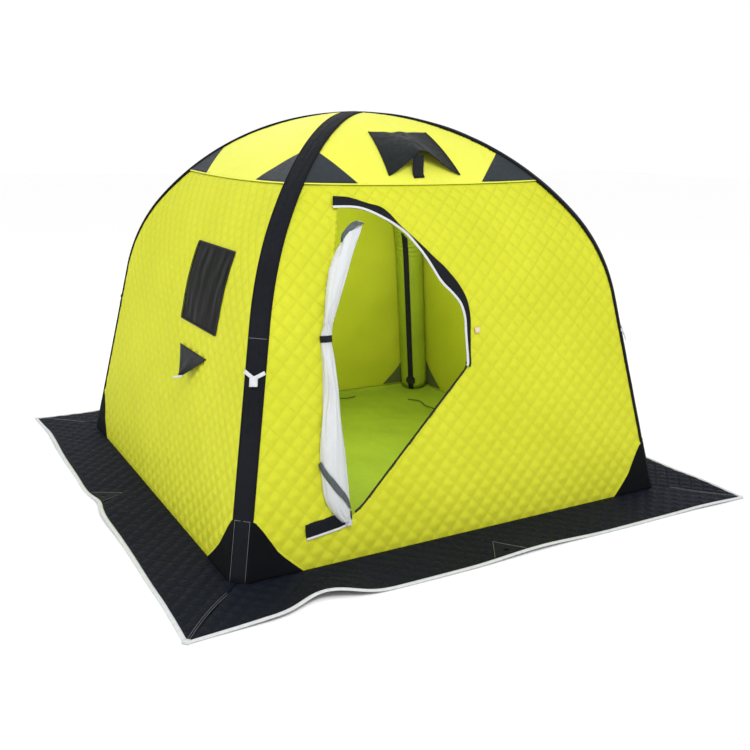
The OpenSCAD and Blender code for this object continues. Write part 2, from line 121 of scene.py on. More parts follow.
FLAP = [                      # length from the flap's start, reach of its black edge, of its seam
    (0.00, 0.050, 0.003), (0.08, 0.045, 0.000), (0.12, 0.034, 0.002), (0.165, 0.029, 0.001),
    (0.206, 0.042, -0.002), (0.24, 0.034, -0.003), (0.30, 0.012, 0.001), (0.35, 0.015, 0.011),
    (0.40, 0.019, 0.009), (0.445, 0.022, 0.004), (0.505, 0.024, -0.008), (0.56, 0.032, -0.019),
    (0.60, 0.030, -0.023), (0.677, 0.031, -0.011), (0.716, 0.032, -0.001), (0.79, 0.026, 0.004),
    (0.86, 0.020, 0.003), (0.94, 0.014, 0.001),
]
DOOR_TIE_Z = 0.880
ROLL = [                      # the gathered door: height, its left and right edge, half its depth
    (0.150, -0.606, -0.590, 0.010), (0.175, -0.628, -0.587, 0.022), (0.215, -0.662, -0.585, 0.034),
    (0.27, -0.692, -0.585, 0.042), (0.35, -0.697, -0.587, 0.050), (0.45, -0.696, -0.590, 0.054),
    (0.58, -0.684, -0.597, 0.052), (0.70, -0.672, -0.597, 0.044), (0.81, -0.662, -0.605, 0.034),
    (0.85, -0.658, -0.615, 0.026), (0.870, -0.656, -0.620, 0.023), (0.89, -0.656, -0.618, 0.026),
    (0.95, -0.641, -0.592, 0.036), (1.06, -0.610, -0.540, 0.042), (1.19, -0.565, -0.474, 0.040),
    (1.26, -0.533, -0.430, 0.034), (1.30, -0.505, -0.405, 0.024), (1.325, -0.480, -0.395, 0.012),
]
GUY_Z = 0.748
GUY_RISE = 0.026


def arch(turn, off):
    """(distance from the middle, height) of a corner beam's line, `off` inside its outer line."""
    turn = np.asarray(turn, float)
    off = np.asarray(off, float)
    roof = (ROOF_R - off) * np.sin(turn), HEIGHT - ROOF_R + (ROOF_R - off) * np.cos(turn)
    cx = (ROOF_R - SHOULDER_R) * math.sin(SHOULDER_TURN)
    cz = HEIGHT - ROOF_R + (ROOF_R - SHOULDER_R) * math.cos(SHOULDER_TURN)
    bent = cx + (SHOULDER_R - off) * np.sin(turn), cz + (SHOULDER_R - off) * np.cos(turn)
    low = turn > SHOULDER_TURN
    return np.where(low, bent[0], roof[0]), np.where(low, bent[1], roof[1])


def run_length(*coordinates):
    """Length along a line from its start to each of its points."""
    return np.append(0, np.cumsum(np.hypot(*[np.diff(c) for c in coordinates])))


def section_table():
    """Arrays along a panel's section, from the ground up: s, y, z and the normal's two parts."""
    turn = np.linspace(0, LEG_TURN, 600)
    r, z = arch(turn, SLEEVE_OFF)
    size = np.hypot(np.sin(turn), np.cos(turn) / ROOT2)
    ny, nz = np.sin(turn) / size, np.cos(turn) / ROOT2 / size
    y, z = r / ROOT2 + WALL_OFF * ny, z + WALL_OFF * nz
    foot = y[-1] + z[-1] * math.cos(LEG_TURN) / ROOT2 / math.sin(LEG_TURN)
    y, z = np.append(y, foot)[::-1], np.append(z, 0)[::-1]
    ny, nz = np.append(ny, ny[-1])[::-1], np.append(nz, nz[-1])[::-1]
    return run_length(y, z), y, z, ny, nz


TABLE_S, TABLE_Y, TABLE_Z, TABLE_NY, TABLE_NZ = section_table()
CROWN_S = TABLE_S[-1]
SEAM_S = float(np.interp(float(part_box("back_wall")[1].z), TABLE_Z, TABLE_S))


def s_at(z):
    return float(np.interp(z, TABLE_Z, TABLE_S))


def s_from_y(y):
    """s of a roof point at distance y from the middle."""
    order = np.argsort(TABLE_Y)
    return np.interp(y, TABLE_Y[order], TABLE_S[order])


def half_width(s):
    """Half the width between the sleeves, at s."""
    return np.interp(s, TABLE_S, TABLE_Y) - EDGE_IN


def turned(points, side):
    """Points of the front side, turned to another side."""
    c, n = (1, 0, -1, 0)[side], (0, 1, 0, -1)[side]
    x, y, z = np.moveaxis(np.asarray(points, float), -1, 0)
    return np.stack([c * x - n * y, n * x + c * y, z], -1)


def on_panel(side, x, s, out=0.0):
    """Points of a panel."""
    x, s, out = np.broadcast_arrays(*[np.asarray(v, float) for v in (x, s, out)])
    y = np.interp(s, TABLE_S, TABLE_Y) + out * np.interp(s, TABLE_S, TABLE_NY)
    z = np.interp(s, TABLE_S, TABLE_Z) + out * np.interp(s, TABLE_S, TABLE_NZ)
    return turned(np.stack([x, -y, z], -1), side)


def panel_normal(side, s):
    s = np.asarray(s, float)
    ny, nz = np.interp(s, TABLE_S, TABLE_NY), np.interp(s, TABLE_S, TABLE_NZ)
    return turned(np.stack([np.zeros_like(s), -ny, nz], -1), side)


# --- outlines -------------------------------------------------------------------------------
def outline(corners, grow=0.0, step=7.0):
    """A rounded polygon; grow moves the whole line outwards. Corners run anticlockwise."""
    points = []
    count = len(corners)
    for i, (bx, bz, r) in enumerate(corners):
        b = np.array([bx, bz])
        u = np.array(corners[i - 1][:2]) - b
        v = np.array(corners[(i + 1) % count][:2]) - b
        u, v = u / np.linalg.norm(u), v / np.linalg.norm(v)
        half = math.acos(np.clip(u @ v, -1, 1)) / 2
        middle = b + (u + v) / np.linalg.norm(u + v) * r / math.sin(half)
        first = b + u * r / math.tan(half) - middle
        start = math.atan2(first[1], first[0])
        sweep = math.pi - 2 * half
        steps = max(2, math.ceil(math.degrees(sweep) / step))
        for k in range(steps + 1):
            a = start + sweep * k / steps
            points.append(middle + (r + grow) * np.array([math.cos(a), math.sin(a)]))
    return np.array(points)


def divided(points, most, closed=True):
    """The same line with no step longer than `most`."""
    points = np.asarray(points, float)
    ends = np.roll(points, -1, 0) if closed else points[1:]
    out = []
    for a, b in zip(points, ends):
        n = max(1, math.ceil(np.linalg.norm(b - a) / most))
        out += [a + (b - a) * k / n for k in range(n)]
    if not closed:
        out.append(points[-1])
    return np.array(out)


def on_section(points):
    """An outline drawn in (x, z) as (x, s), with its long straight runs divided."""
    points = divided(points, 0.03)
    return np.stack([points[:, 0], np.interp(points[:, 1], TABLE_Z, TABLE_S)], 1)


def smoothed(points, rounds, closed=False):
    points = np.array(points, float)
    for _ in range(rounds):
        before, after = np.roll(points, 1, 0), np.roll(points, -1, 0)
        mean = (before + after) / 4 + points / 2
        if not closed:
            mean[0], mean[-1] = points[0], points[-1]
        points = mean
    return points


def part_of(loop, test):
    """The stretch of a closed line where test(point) holds, as an open line."""
    held = np.array([test(p) for p in loop])
    start = next(i for i in range(len(loop)) if held[i] and not held[i - 1])
    line = []
    while held[start % len(loop)] and len(line) < len(loop):
        line.append(loop[start % len(loop)])
        start += 1
    return np.array(line)


def panel_outline(s0, s1):
    """The edge of a panel between two heights along the section, tucked under the sleeves."""
    s = np.linspace(s0, s1, max(4, int((s1 - s0) / 0.02)))
    x = np.maximum(half_width(s) + UNDER, 0.001)
    return np.concatenate([np.stack([x, s], 1), np.stack([-x, s], 1)[::-1]])


def seam_line():
    """The seam between a wall and its roof, which bows down in the middle."""
    x = np.linspace(-1, 1, 40)
    return np.stack([x * (half_width(SEAM_S) + UNDER), SEAM_S - SEAM_BOW * (1 - x * x)], 1)


def wall_loop():
    sides = panel_outline(0.0, SEAM_S)
    half = len(sides) // 2
    return np.concatenate([sides[:half], seam_line()[::-1][1:-1], sides[half:]])


def roof_loop():
    return np.concatenate([panel_outline(SEAM_S, CROWN_S - 0.001), seam_line()[1:-1]])


def window_hole(sign, grow=0.0):
    x = sign * WINDOW_OFF
    low, high = WINDOW_Z
    corners = [(x - WINDOW_HALF, low, 0.008), (x + WINDOW_HALF, low, 0.008),
               (x + WINDOW_HALF, high, 0.008), (x - WINDOW_HALF, high, 0.008)]
    line = on_section(outline(corners, grow, 30.0))
    share = np.clip((line[:, 1] - s_at(low)) / (s_at(high) - s_at(low)), 0, 1)
    line[:, 0] += sign * WINDOW_BOW * 4 * share * (1 - share)
    return line


def hood_print():
    """The ground that a roof vent's hood covers, in (x, s)."""
    s = s_from_y(np.array(HOOD_Y))
    return np.array([(-HOOD_HALF[1], s[1]), (HOOD_HALF[1], s[1]), (HOOD_HALF[0], s[0]),
                     (-HOOD_HALF[0], s[0])])


def gusset_lines(sign):
    """The patch from the wall seam up to the sleeve, over each roof corner."""
    tip = {1: 0.282, -1: 0.345}[sign]
    s = np.linspace(SEAM_S - 0.003, s_at(1.574), 14)
    outer = np.stack([half_width(s) + 0.010, s], 1)
    start = np.array([tip, s[0]])
    share = np.linspace(0, 1, 14)[:, None]
    inner = start * (1 - share) + (outer[-1] - np.array([0.006, 0])) * share
    return inner * (sign, 1), outer * (sign, 1)


def boot_lines(sign):
    """The patch that widens from the sleeve down to the skirt, at each bottom corner."""
    z = np.array([0.010, 0.026, 0.074, 0.108, 0.152, 0.195, 0.230, BOOT_TOP])
    x = np.array([0.805, 0.824, 0.876, 0.908, 0.934, 0.960, 0.985, 0.999])
    fine = np.linspace(z[0], z[-1], 22)
    s = np.interp(fine, TABLE_Z, TABLE_S)
    inner = np.stack([np.interp(fine, z, x), s], 1)
    outer = np.stack([half_width(s) + 0.010, s], 1)
    return inner * (sign, 1), outer * (sign, 1)


def loops_of(lines):
    """A ruled patch's left and right copies, each as one closed, anticlockwise line."""
    loops = []
    for sign in (1, -1):
        inner, outer = lines(sign)
        loop = np.concatenate([inner, outer[::-1]])
        x, y = loop.T
        turn = np.dot(x, np.roll(y, -1)) - np.dot(y, np.roll(x, -1))
        loops.append(loop if turn > 0 else loop[::-1])
    return loops


# --- grids trimmed to outlines --------------------------------------------------------------
def within(points, loops):
    """Which points lie inside the loops, counting crossings, so that inner loops are holes."""
    inside = np.zeros(len(points), bool)
    for loop in loops:
        for a, b in zip(loop, np.roll(loop, -1, 0)):
            if a[1] == b[1]:
                continue
            level = (a[1] > points[:, 1]) != (b[1] > points[:, 1])
            at = a[0] + (points[:, 1] - a[1]) / (b[1] - a[1]) * (b[0] - a[0])
            inside ^= level & (points[:, 0] < at)
    return inside


def nearest(points, loops):
    """Distance to the loops and the nearest point on them."""
    best = np.full(len(points), 1e9)
    place = points.copy()
    for loop in loops:
        for a, b in zip(loop, np.roll(loop, -1, 0)):
            d = b - a
            t = np.clip(((points - a) @ d) / max(d @ d, 1e-12), 0, 1)
            q = a + t[:, None] * d
            gap = np.hypot(*(points - q).T)
            closer = gap < best
            best[closer] = gap[closer]
            place[closer] = q[closer]
    return best, place


def trimmed_grid(cell, loops):
    """A square grid fitted into loops: points, faces, grid numbers and distances to the edge."""
    low, high = loops[0].min(0), loops[0].max(0)
    i = np.arange(math.floor(low[0] / cell), math.ceil(high[0] / cell) + 1)
    j = np.arange(math.floor(low[1] / cell), math.ceil(high[1] / cell) + 1)
    gi, gj = np.meshgrid(i, j)
    at = np.stack([gi.ravel() * cell, gj.ravel() * cell], 1)
    gap, place = nearest(at, loops)
    snapped = gap < cell * 0.5
    keep = within(at, loops) | snapped
    points = np.where(snapped[:, None], place, at)
    wide = len(i)
    k = (np.arange(len(j) - 1)[:, None] * wide + np.arange(wide - 1)).ravel()
    quads = np.stack([k, k + 1, k + wide + 1, k + wide], 1)
    quads = quads[within(points[quads].mean(1), loops)]
    held = keep[quads]
    faces = [tuple(q) for q in quads[held.all(1)]]
    for q, h in zip(quads[held.sum(1) == 3], held[held.sum(1) == 3]):
        faces.append(tuple(q[h]))
    faces = [f for f in faces if face_size(points[list(f)]) > cell * cell * 0.02]
    used = np.zeros(len(at), bool)
    used[[v for f in faces for v in f]] = True
    number = np.cumsum(used) - 1
    faces = [tuple(int(number[v]) for v in f) for f in faces]
    grid = np.stack([gi.ravel(), gj.ravel()], 1)[used]
    return points[used], faces, grid, nearest(points[used], loops)[0]


def face_size(p):
    x, y = p[:, 0], p[:, 1]
    return abs(np.dot(x, np.roll(y, -1)) - np.dot(y, np.roll(x, -1))) / 2


def rim_edges(faces):
    """Directed edges that only one face uses."""
    count = {}
    for f in faces:
        for a, b in zip(f, f[1:] + f[:1]):
            count[(a, b)] = True
    return [(a, b) for (a, b) in count if (b, a) not in count]


def border(points, faces):
    edge = np.zeros(len(points), bool)
    edge[[v for e in rim_edges(faces) for v in e]] = True
    return edge


def fade(gap, reach):
    """0 at an edge, 1 from `reach` inwards."""
    return np.clip(gap / reach, 0, 1)


def flattened(at, patches, reach=0.01):
    """1 on the open cloth, 0 under the patches laid on it."""
    open_cloth = np.ones(len(at))
    for patch in patches:
        gap, _ = nearest(at, [patch])
        gap = np.where(within(at, [patch]), 0, gap)
        open_cloth = np.minimum(open_cloth, fade(gap, reach))
    return open_cloth


def quilt_height(grid):
    """0 on the stitch lines, 1 in the middle of each diamond."""
    i, j = grid[:, 0], grid[:, 1]
    a = np.abs(np.sin(math.pi * (i + j) / STEPS))
    b = np.abs(np.sin(math.pi * (i - j) / STEPS))
    return (a * b) ** 0.65


def on_stitch(grid):
    i, j = grid[:, 0], grid[:, 1]
    return ((i + j) % STEPS == 0) | ((i - j) % STEPS == 0)


def noise_at(points, scale, seed):
    """Smooth noise from -1 to 1, made of a few fixed waves."""
    rng = np.random.default_rng(seed)
    total = np.zeros(len(points))
    for k in range(9):
        direction = rng.normal(size=points.shape[1])
        direction *= (0.6 + 0.9 * rng.random()) * 2 * math.pi / scale / np.linalg.norm(direction)
        total += np.sin(points @ direction + rng.random() * 2 * math.pi)
    return total / 4.5


# --- meshes ---------------------------------------------------------------------------------
def new_mesh(name, points, faces, material, slot, replaces=(), uv=None, smooth=True):
    """A piece that rides on the hut."""
    mesh = bpy.data.meshes.new(name)
    mesh.from_pydata([tuple(map(float, p)) for p in points], [], [tuple(map(int, f)) for f in faces])
    if smooth:
        mesh.shade_smooth()
    if uv is not None:
        layer = mesh.uv_layers.new(name="cloth")
        index = np.zeros(len(mesh.loops), np.int32)
        mesh.loops.foreach_get("vertex_index", index)
        layer.data.foreach_set("uv", np.asarray(uv, np.float32)[index].ravel())
    piece = bpy.data.objects.new(name, mesh)
    bpy.context.scene.collection.objects.link(piece)
    mesh.materials.append(material)
    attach(piece, "root")
    if replaces:
        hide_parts(*replaces)
    return piece


def thicken(piece, thickness, offset=-1):
    solid = piece.modifiers.new("thickness", "SOLIDIFY")
    solid.thickness = thickness
    solid.offset = offset


def declare_sheet(piece):
    """Works out a sheet's area and the rectangle that holds its cut, but keeps neither."""
    mesh = piece.data
    area = sum(p.area for p in mesh.polygons)
    uv = np.zeros(len(mesh.loops) * 2, np.float32)
    mesh.uv_layers["cloth"].data.foreach_get("uv", uv)
    wide, long = np.ptp(uv.reshape(-1, 2), axis=0)
    flat = (round(float(wide), 3), round(float(long), 3))
    area = min(area, flat[0] * flat[1])


def swell(points, faces, pinned, pressure, slack, cap, frames=14):
    """The cloth simulation: air pressure swells a sheet between its pinned stitches."""
    mesh = bpy.data.meshes.new("swelling")
    mesh.from_pydata([tuple(map(float, p)) for p in points], [], faces)
    cloth = bpy.data.objects.new("swelling", mesh)
    bpy.context.scene.collection.objects.link(cloth)
    group = cloth.vertex_groups.new(name="stitches")
    group.add([int(v) for v in np.flatnonzero(pinned)], 1.0, "REPLACE")
    modifier = cloth.modifiers.new("cloth", "CLOTH")
    settings = modifier.settings
    settings.quality = 4
    settings.mass = 0.2
    settings.tension_stiffness = 18
    settings.compression_stiffness = 18
    settings.shear_stiffness = 6
    settings.bending_stiffness = 0.4
    settings.vertex_group_mass = "stitches"
    settings.use_pressure = True
    settings.uniform_pressure_force = pressure
    settings.shrink_min = -slack
    settings.effector_weights.gravity = 0
    modifier.point_cache.frame_start = 1
    modifier.point_cache.frame_end = frames
    scene = bpy.context.scene
    for number in range(1, frames + 1):
        scene.frame_set(number)
    held = cloth.evaluated_get(bpy.context.evaluated_depsgraph_get())
    moved = np.zeros(len(points) * 3, np.float32)
    held.data.vertices.foreach_get("co", moved)
    scene.frame_set(1)
    bpy.data.objects.remove(cloth)
    bpy.data.meshes.remove(mesh)
    shift = moved.reshape(-1, 3).astype(float) - points
    length = np.linalg.norm(shift, axis=1, keepdims=True)
    return points + shift * np.minimum(1, cap / np.maximum(length, 1e-9))


def grid_faces(rows, columns, start=0, flip=False):
    """The quads of a grid whose points are numbered row by row."""
    faces = []
    for k in [start + i * columns + j for i in range(rows - 1) for j in range(columns - 1)]:
        face = (k, k + 1, k + columns + 1, k + columns)
        faces.append((face[0], face[3], face[2], face[1]) if flip else face)
    return faces


def tube_faces(n, m, closed=False):
    """The quads round a tube of n rings of m points, with its ends capped unless it closes."""
    faces = []
    for i in range(n if closed else n - 1):
        a, b = i * m, (i + 1) % n * m
        faces += [(a + j, a + (j + 1) % m, b + (j + 1) % m, b + j) for j in range(m)]
    if not closed:
        faces.append(tuple(range(m))[::-1])
        faces.append(tuple((n - 1) * m + j for j in range(m)))
    return faces


def swept(path, normals, ring, closed=False):
    """Points and faces of a ring of (across, up) offsets carried along a path in space."""
    path, normals, ring = (np.asarray(v, float) for v in (path, normals, ring))
    ahead = np.roll(path, -1, 0) - np.roll(path, 1, 0) if closed else np.gradient(path, axis=0)
    ahead /= np.linalg.norm(ahead, axis=1, keepdims=True)
    across = np.cross(ahead, normals)
    across /= np.linalg.norm(across, axis=1, keepdims=True)
    up = np.cross(across, ahead)
    points = path[:, None] + ring[:, :1] * across[:, None] + ring[:, 1:] * up[:, None]
    return points.reshape(-1, 3), tube_faces(len(path), len(ring), closed)


def oval(width, height, count=10):
    a = np.arange(count) * TAU / count
    return np.stack([width / 2 * np.cos(a), height / 2 * np.sin(a)], 1)


def band(width, thick):
    """The section of a flat band with rounded edges, standing on its base line."""
    w, t = width / 2, thick
    return [(-w, 0), (-w, t * 0.6), (-w + t * 0.4, t), (0, t * 1.05), (w - t * 0.4, t), (w, t * 0.6),
            (w, 0)]


def panel_band(side, line, ring, out=0.0, closed=False):
    """A band laid along a line of (x, s) on a panel."""
    line = np.asarray(line, float)
    return swept(on_panel(side, line[:, 0], line[:, 1], out), panel_normal(side, line[:, 1]), ring,
                 closed)


def joined(parts):
    """One list of points and faces from several."""
    points, faces, base = [], [], 0
    for p, f in parts:
        points.append(np.asarray(p, float))
        faces += [tuple(v + base for v in face) for face in f]
        base += len(p)
    return np.concatenate(points), faces


def shell(top, low, faces):
    """A closed sheet: a top, the same faces turned over below it, and its rim."""
    n = len(top)
    rim = [(b, a, a + n, b + n) for a, b in rim_edges(faces)]
    return np.concatenate([top, low]), faces + rim + [tuple(v + n for v in f[::-1]) for f in faces]


# --- materials ------------------------------------------------------------------------------
class Graph:
    """Builds a node material from plain calls."""

    def __init__(self, name, roughness, sheen=0.0, specular=0.5):
        self.material = bpy.data.materials.new(name)
        self.material.use_nodes = True
        self.nodes = self.material.node_tree.nodes
        self.links = self.material.node_tree.links
        self.shader = self.nodes["Principled BSDF"]
        self.set_shader("Roughness", roughness)
        self.set_shader("Sheen Weight", sheen)
        self.set_shader("Specular IOR Level", specular)

    def put(self, socket, value):
        if isinstance(value, bpy.types.NodeSocket):
            self.links.new(value, socket)
        else:
            socket.default_value = (*value, 1) if socket.type == "RGBA" else value

    def set_shader(self, name, value):
        self.put(self.shader.inputs[name], value)

    def add(self, kind, **inputs):
        """A new node with its named inputs set or linked; returns its outputs."""
        node = self.nodes.new(kind)
        for name, value in inputs.items():
            self.put(node.inputs[name.replace("_", " ")], value)
        return node.outputs

    def math(self, operation, a, b=0.0):
        node = self.nodes.new("ShaderNodeMath")
        node.operation = operation
        self.put(node.inputs[0], a)
        self.put(node.inputs[1], b)
        return node.outputs[0]

    def cloth_uv(self):
        node = self.nodes.new("ShaderNodeUVMap")
        node.uv_map = "cloth"
        uv = node.outputs["UV"]
        split = self.add("ShaderNodeSeparateXYZ", Vector=uv)
        return uv, split["X"], split["Y"]

    def place(self):
        return self.nodes.new("ShaderNodeTexCoord").outputs["Object"]

    def noise(self, vector, scale, detail=3.0, roughness=0.5):
        return self.add("ShaderNodeTexNoise", Vector=vector, Scale=scale, Detail=detail,
                        Roughness=roughness)["Fac"]

    def ramp(self, value, low, high, out_low=0.0, out_high=1.0):
        return self.add("ShaderNodeMapRange", Value=value, From_Min=low, From_Max=high,
                        To_Min=out_low, To_Max=out_high)[0]

    def mix(self, factor, a, b):
        node = self.nodes.new("ShaderNodeMix")
        node.data_type = "RGBA"
        self.put(node.inputs["Factor"], factor)
        self.put(node.inputs[6], a)
        self.put(node.inputs[7], b)
        return node.outputs[2]

    def line(self, value, spacing, width):
        """1 on thin lines where value is a multiple of spacing, 0 between them."""
        return self.math("LESS_THAN", self.math("PINGPONG", value, spacing / 2), width / 2)

    def weave(self, u, v, thread):
        """The height of a plain weave with threads of the given width."""
        across, along = (self.math("SINE", self.math("MULTIPLY", t, math.pi / thread)) for t in (u, v))
        return self.math("MULTIPLY", across, along)

    def bump(self, height, distance, strength=1.0, below=None):
        inputs = {} if below is None else {"Normal": below}
        normal = self.add("ShaderNodeBump", Height=height, Distance=distance, Strength=strength,
                          **inputs)[0]
        self.set_shader("Normal", normal)
        return normal


def quilted(name, colour, shade, thread, rough=0.6, specular=0.25):
    """Cloth sewn in diamonds: woven face, needle dents and painted groove shade along the stitch lines."""
    g = Graph(name, rough, 0.0, specular)
    uv, u, v = g.cloth_uv()
    rising, falling = g.math("ADD", u, v), g.math("SUBTRACT", u, v)
    lines = g.math("MAXIMUM", g.line(rising, PITCH, 0.0032), g.line(falling, PITCH, 0.0032))
    sewn = g.math("MULTIPLY", lines, g.line(u, 0.0045, 0.0032))
    tint = g.mix(g.ramp(g.noise(uv, 2.2, 4.0), 0.3, 0.7), colour, shade)
    fine = g.mix(g.ramp(g.noise(uv, 90.0, 2.0), 0.35, 0.65, 0.0, 0.35), tint, shade)
    # The stitch lines are painted a little darker: painted shade in the grooves of the quilting.
    dark = tuple(c * 0.7 for c in shade)
    g.set_shader("Base Color", g.mix(g.math("MULTIPLY", lines, 0.10), fine, dark))
    g.set_shader("Roughness", g.ramp(g.noise(uv, 60.0), 0.3, 0.7, rough - 0.08, rough + 0.1))
    weave = g.bump(g.weave(u, v, thread), thread * 0.35, 0.6)
    creased = g.bump(g.noise(uv, 26.0, 5.0, 0.6), 0.0022, 0.5, weave)
    g.bump(g.math("SUBTRACT", 1.0, sewn), 0.0012, 0.8, creased)
    return g.material


def woven(name, colour, shade, thread, rough=0.65, sheen=0.0, crease=0.0015, specular=0.35):
    """Plain woven cloth with faint creases."""
    g = Graph(name, rough, sheen, specular)
    uv, u, v = g.cloth_uv()
    tint = g.mix(g.ramp(g.noise(uv, 3.0, 4.0), 0.3, 0.7), colour, shade)
    g.set_shader("Base Color", g.mix(g.ramp(g.noise(uv, 140.0, 2.0), 0.35, 0.65, 0.0, 0.3), tint, shade))
    g.set_shader("Roughness", g.ramp(g.noise(uv, 40.0), 0.3, 0.7, rough - 0.07, rough + 0.09))
    weave = g.bump(g.weave(u, v, thread), thread * 0.35, 0.6)
    g.bump(g.noise(uv, 18.0, 5.0, 0.6), crease, 0.5, weave)
    return g.material


def placed(name, colour, shade, rough, grain, depth):
    """A finish that doesn't depend on how the surface was cut: moulded plastic, thread, tabs."""
    g = Graph(name, rough)
    at = g.place()
    g.set_shader("Base Color", g.mix(g.ramp(g.noise(at, 9.0, 4.0), 0.3, 0.7), colour, shade))
    g.set_shader("Roughness", g.ramp(g.noise(at, 35.0), 0.3, 0.7, rough - 0.06, rough + 0.08))
    g.bump(g.noise(at, grain, 3.0), depth, 0.7)
    return g.material


def webbing(name, colour, shade, thread=0.0011):
    """Narrow woven tape, ribbed across its length."""
    g = Graph(name, 0.7, 0.03, 0.15)
    at = g.place()
    split = g.add("ShaderNodeSeparateXYZ", Vector=at)
    along = g.math("ADD", split["Z"], g.math("MULTIPLY", split["X"], 0.7))
    ribs = g.math("SINE", g.math("MULTIPLY", along, TAU / thread))
    g.set_shader("Base Color", g.mix(g.ramp(g.noise(at, 60.0), 0.3, 0.7), colour, shade))
    g.bump(ribs, thread * 0.2, 0.6)
    return g.material


def window_film():
    """Dark glossy film with long soft creases; the lighter streaks along them in its colour are painted
    reflections.
    """
    g = Graph("window_film", 0.32, 0.0, 0.02)
    uv, u, v = g.cloth_uv()
    squeezed = g.add("ShaderNodeMapping", Vector=uv, Scale=(6.0, 1.1, 1.0), Rotation=(0, 0, 0.2))[0]
    creases_and_reflections = g.noise(squeezed, 2.6, 4.0, 0.6)
    # The lighter streaks in the colour are painted reflections; the same pattern also sets the roughness
    # and the crease bumps.
    g.set_shader("Base Color", g.mix(g.ramp(creases_and_reflections, 0.5, 0.72), (0.002, 0.003, 0.002),
                                     (0.026, 0.029, 0.026)))
    g.set_shader("Roughness", g.ramp(creases_and_reflections, 0.3, 0.7, 0.25, 0.4))
    g.bump(creases_and_reflections, 0.003, 0.3)
    return g.material


BLACK = (0.0055, 0.006, 0.0085)
BLACK_SOFT = (0.009, 0.010, 0.014)
WHITE = (0.66, 0.68, 0.69)
WHITE_SHADE = (0.56, 0.58, 0.60)

wall_cloth = quilted("wall_quilt", (0.64, 0.665, 0.034), (0.57, 0.595, 0.024), 0.0009, specular=0.15)
# The lining is painted yellow-green: painted light, the tint that daylight through the yellow walls gives
# the pale lining.
lining_cloth = woven("lining", (0.54, 0.575, 0.024), (0.46, 0.51, 0.017), 0.0008, 0.6)
roof_cloth = woven("roof_fabric", (0.77, 0.79, 0.075), (0.72, 0.74, 0.06), 0.0008, 0.55, 0.02, 0.002)
sleeve_cloth = woven("sleeve_fabric", BLACK, BLACK_SOFT, 0.0010, 0.72, 0.01, 0.0018, 0.10)
patch_cloth = woven("patch_fabric", (0.0035, 0.004, 0.0045), BLACK, 0.0011, 0.75, specular=0.06)
# The gussets are the black patch cloth painted lighter and bluer: painted skylight and sheen on their
# upward faces.
gusset_lit_cloth = woven("gusset_patch_painted_light", (0.022, 0.028, 0.034), (0.032, 0.040, 0.047), 0.0011, 0.6, 0.02,
                     0.0018, 0.12)
# Painted shadow: the darker colour of the lining where the boot patches outside block the light through the
# yellow walls.
boot_shadow_cloth = woven("boot_shadow_paint", (0.115, 0.145, 0.035), (0.085, 0.11, 0.025), 0.0011, 0.75)
tab_cloth = placed("tab_cloth", (0.70, 0.60, 0.42), (0.62, 0.52, 0.36), 0.7, 700.0, 0.0003)
hood_cloth = woven("hood_fabric", (0.004, 0.006, 0.006), (0.009, 0.013, 0.013), 0.0010, 0.45, 0.0,
                   0.005, 0.13)
skirt_cloth = quilted("skirt_quilt", (0.0045, 0.006, 0.012), (0.008, 0.010, 0.018), 0.0010, 0.58, 0.085)
eyelet_cloth = woven("eyelet_patch", (0.006, 0.008, 0.014), (0.009, 0.011, 0.018), 0.0010, 0.6, 0.0,
                     0.001, 0.07)
white_cloth = woven("door_lining", WHITE, WHITE_SHADE, 0.0008, 0.6, 0.05, 0.003, 0.3)
binding_tape = webbing("binding", WHITE, WHITE_SHADE)
thread_white = placed("thread", (0.26, 0.27, 0.28), (0.18, 0.19, 0.20), 0.7, 900.0, 0.0002)
grey_tape = webbing("grey_tape", (0.10, 0.12, 0.125), (0.07, 0.085, 0.09))
black_tape = webbing("black_tape", (0.007, 0.008, 0.010), (0.012, 0.013, 0.016))
floor_cloth = woven("floor_sheet", (0.33, 0.45, 0.025), (0.26, 0.37, 0.02), 0.0013, 0.55, 0.0, 0.003)
beam_cloth = woven("beam_fabric", (0.33, 0.40, 0.02), (0.25, 0.32, 0.015), 0.0009, 0.5, 0.0, 0.002)
film = window_film()
hard_black = placed("moulded_black", (0.009, 0.009, 0.010), (0.015, 0.015, 0.017), 0.38, 420.0, 0.0002)


# --- walls and roofs ------------------------------------------------------------------------
def quilted_panel(name, side, loops, patches, replaces, seed):
    """A padded wall panel: the swollen outer cloth with its rim turned in."""
    at, faces, grid, gap = trimmed_grid(CELL, loops)
    free = flattened(at, patches)
    puff = quilt_height(grid) * free * fade(gap - 0.004, 0.03)
    ripple = noise_at(at, 0.55, seed) * 0.0022 + noise_at(at, 0.16, seed + 1) * 0.0009
    out = -0.0045 * free + ripple * fade(gap, 0.08) + QUILT_PUFF * puff
    points = on_panel(side, at[:, 0], at[:, 1], out)
    pins = on_stitch(grid) | border(at, faces) | (gap < 0.014) | (free < 0.5)
    points = swell(points, faces, pins, 1.2, 0.012, 0.004)
    rims = rim_edges(faces)
    rim = sorted({v for e in rims for v in e})
    inner = {v: len(points) + k for k, v in enumerate(rim)}
    turned_in = on_panel(side, at[rim, 0], at[rim, 1], -WALL_T)
    walls = [(b, a, inner[a], inner[b]) for a, b in rims]
    return new_mesh(name, np.concatenate([points, turned_in]), faces + walls, wall_cloth, "wall_quilt",
                    replaces, np.concatenate([at, at[rim]]))


def lining_panel(side, loops):
    """The cloth that shows inside."""
    at, faces, _, _ = trimmed_grid(0.02, loops)
    out = -WALL_T - 0.0015 + noise_at(at, 0.3, side + 40) * 0.0015
    lining = new_mesh(f"{SIDES[side]}_wall_lining", on_panel(side, at[:, 0], at[:, 1], out),
                      [f[::-1] for f in faces], lining_cloth, "wall_quilt", (), at)
    declare_sheet(lining)


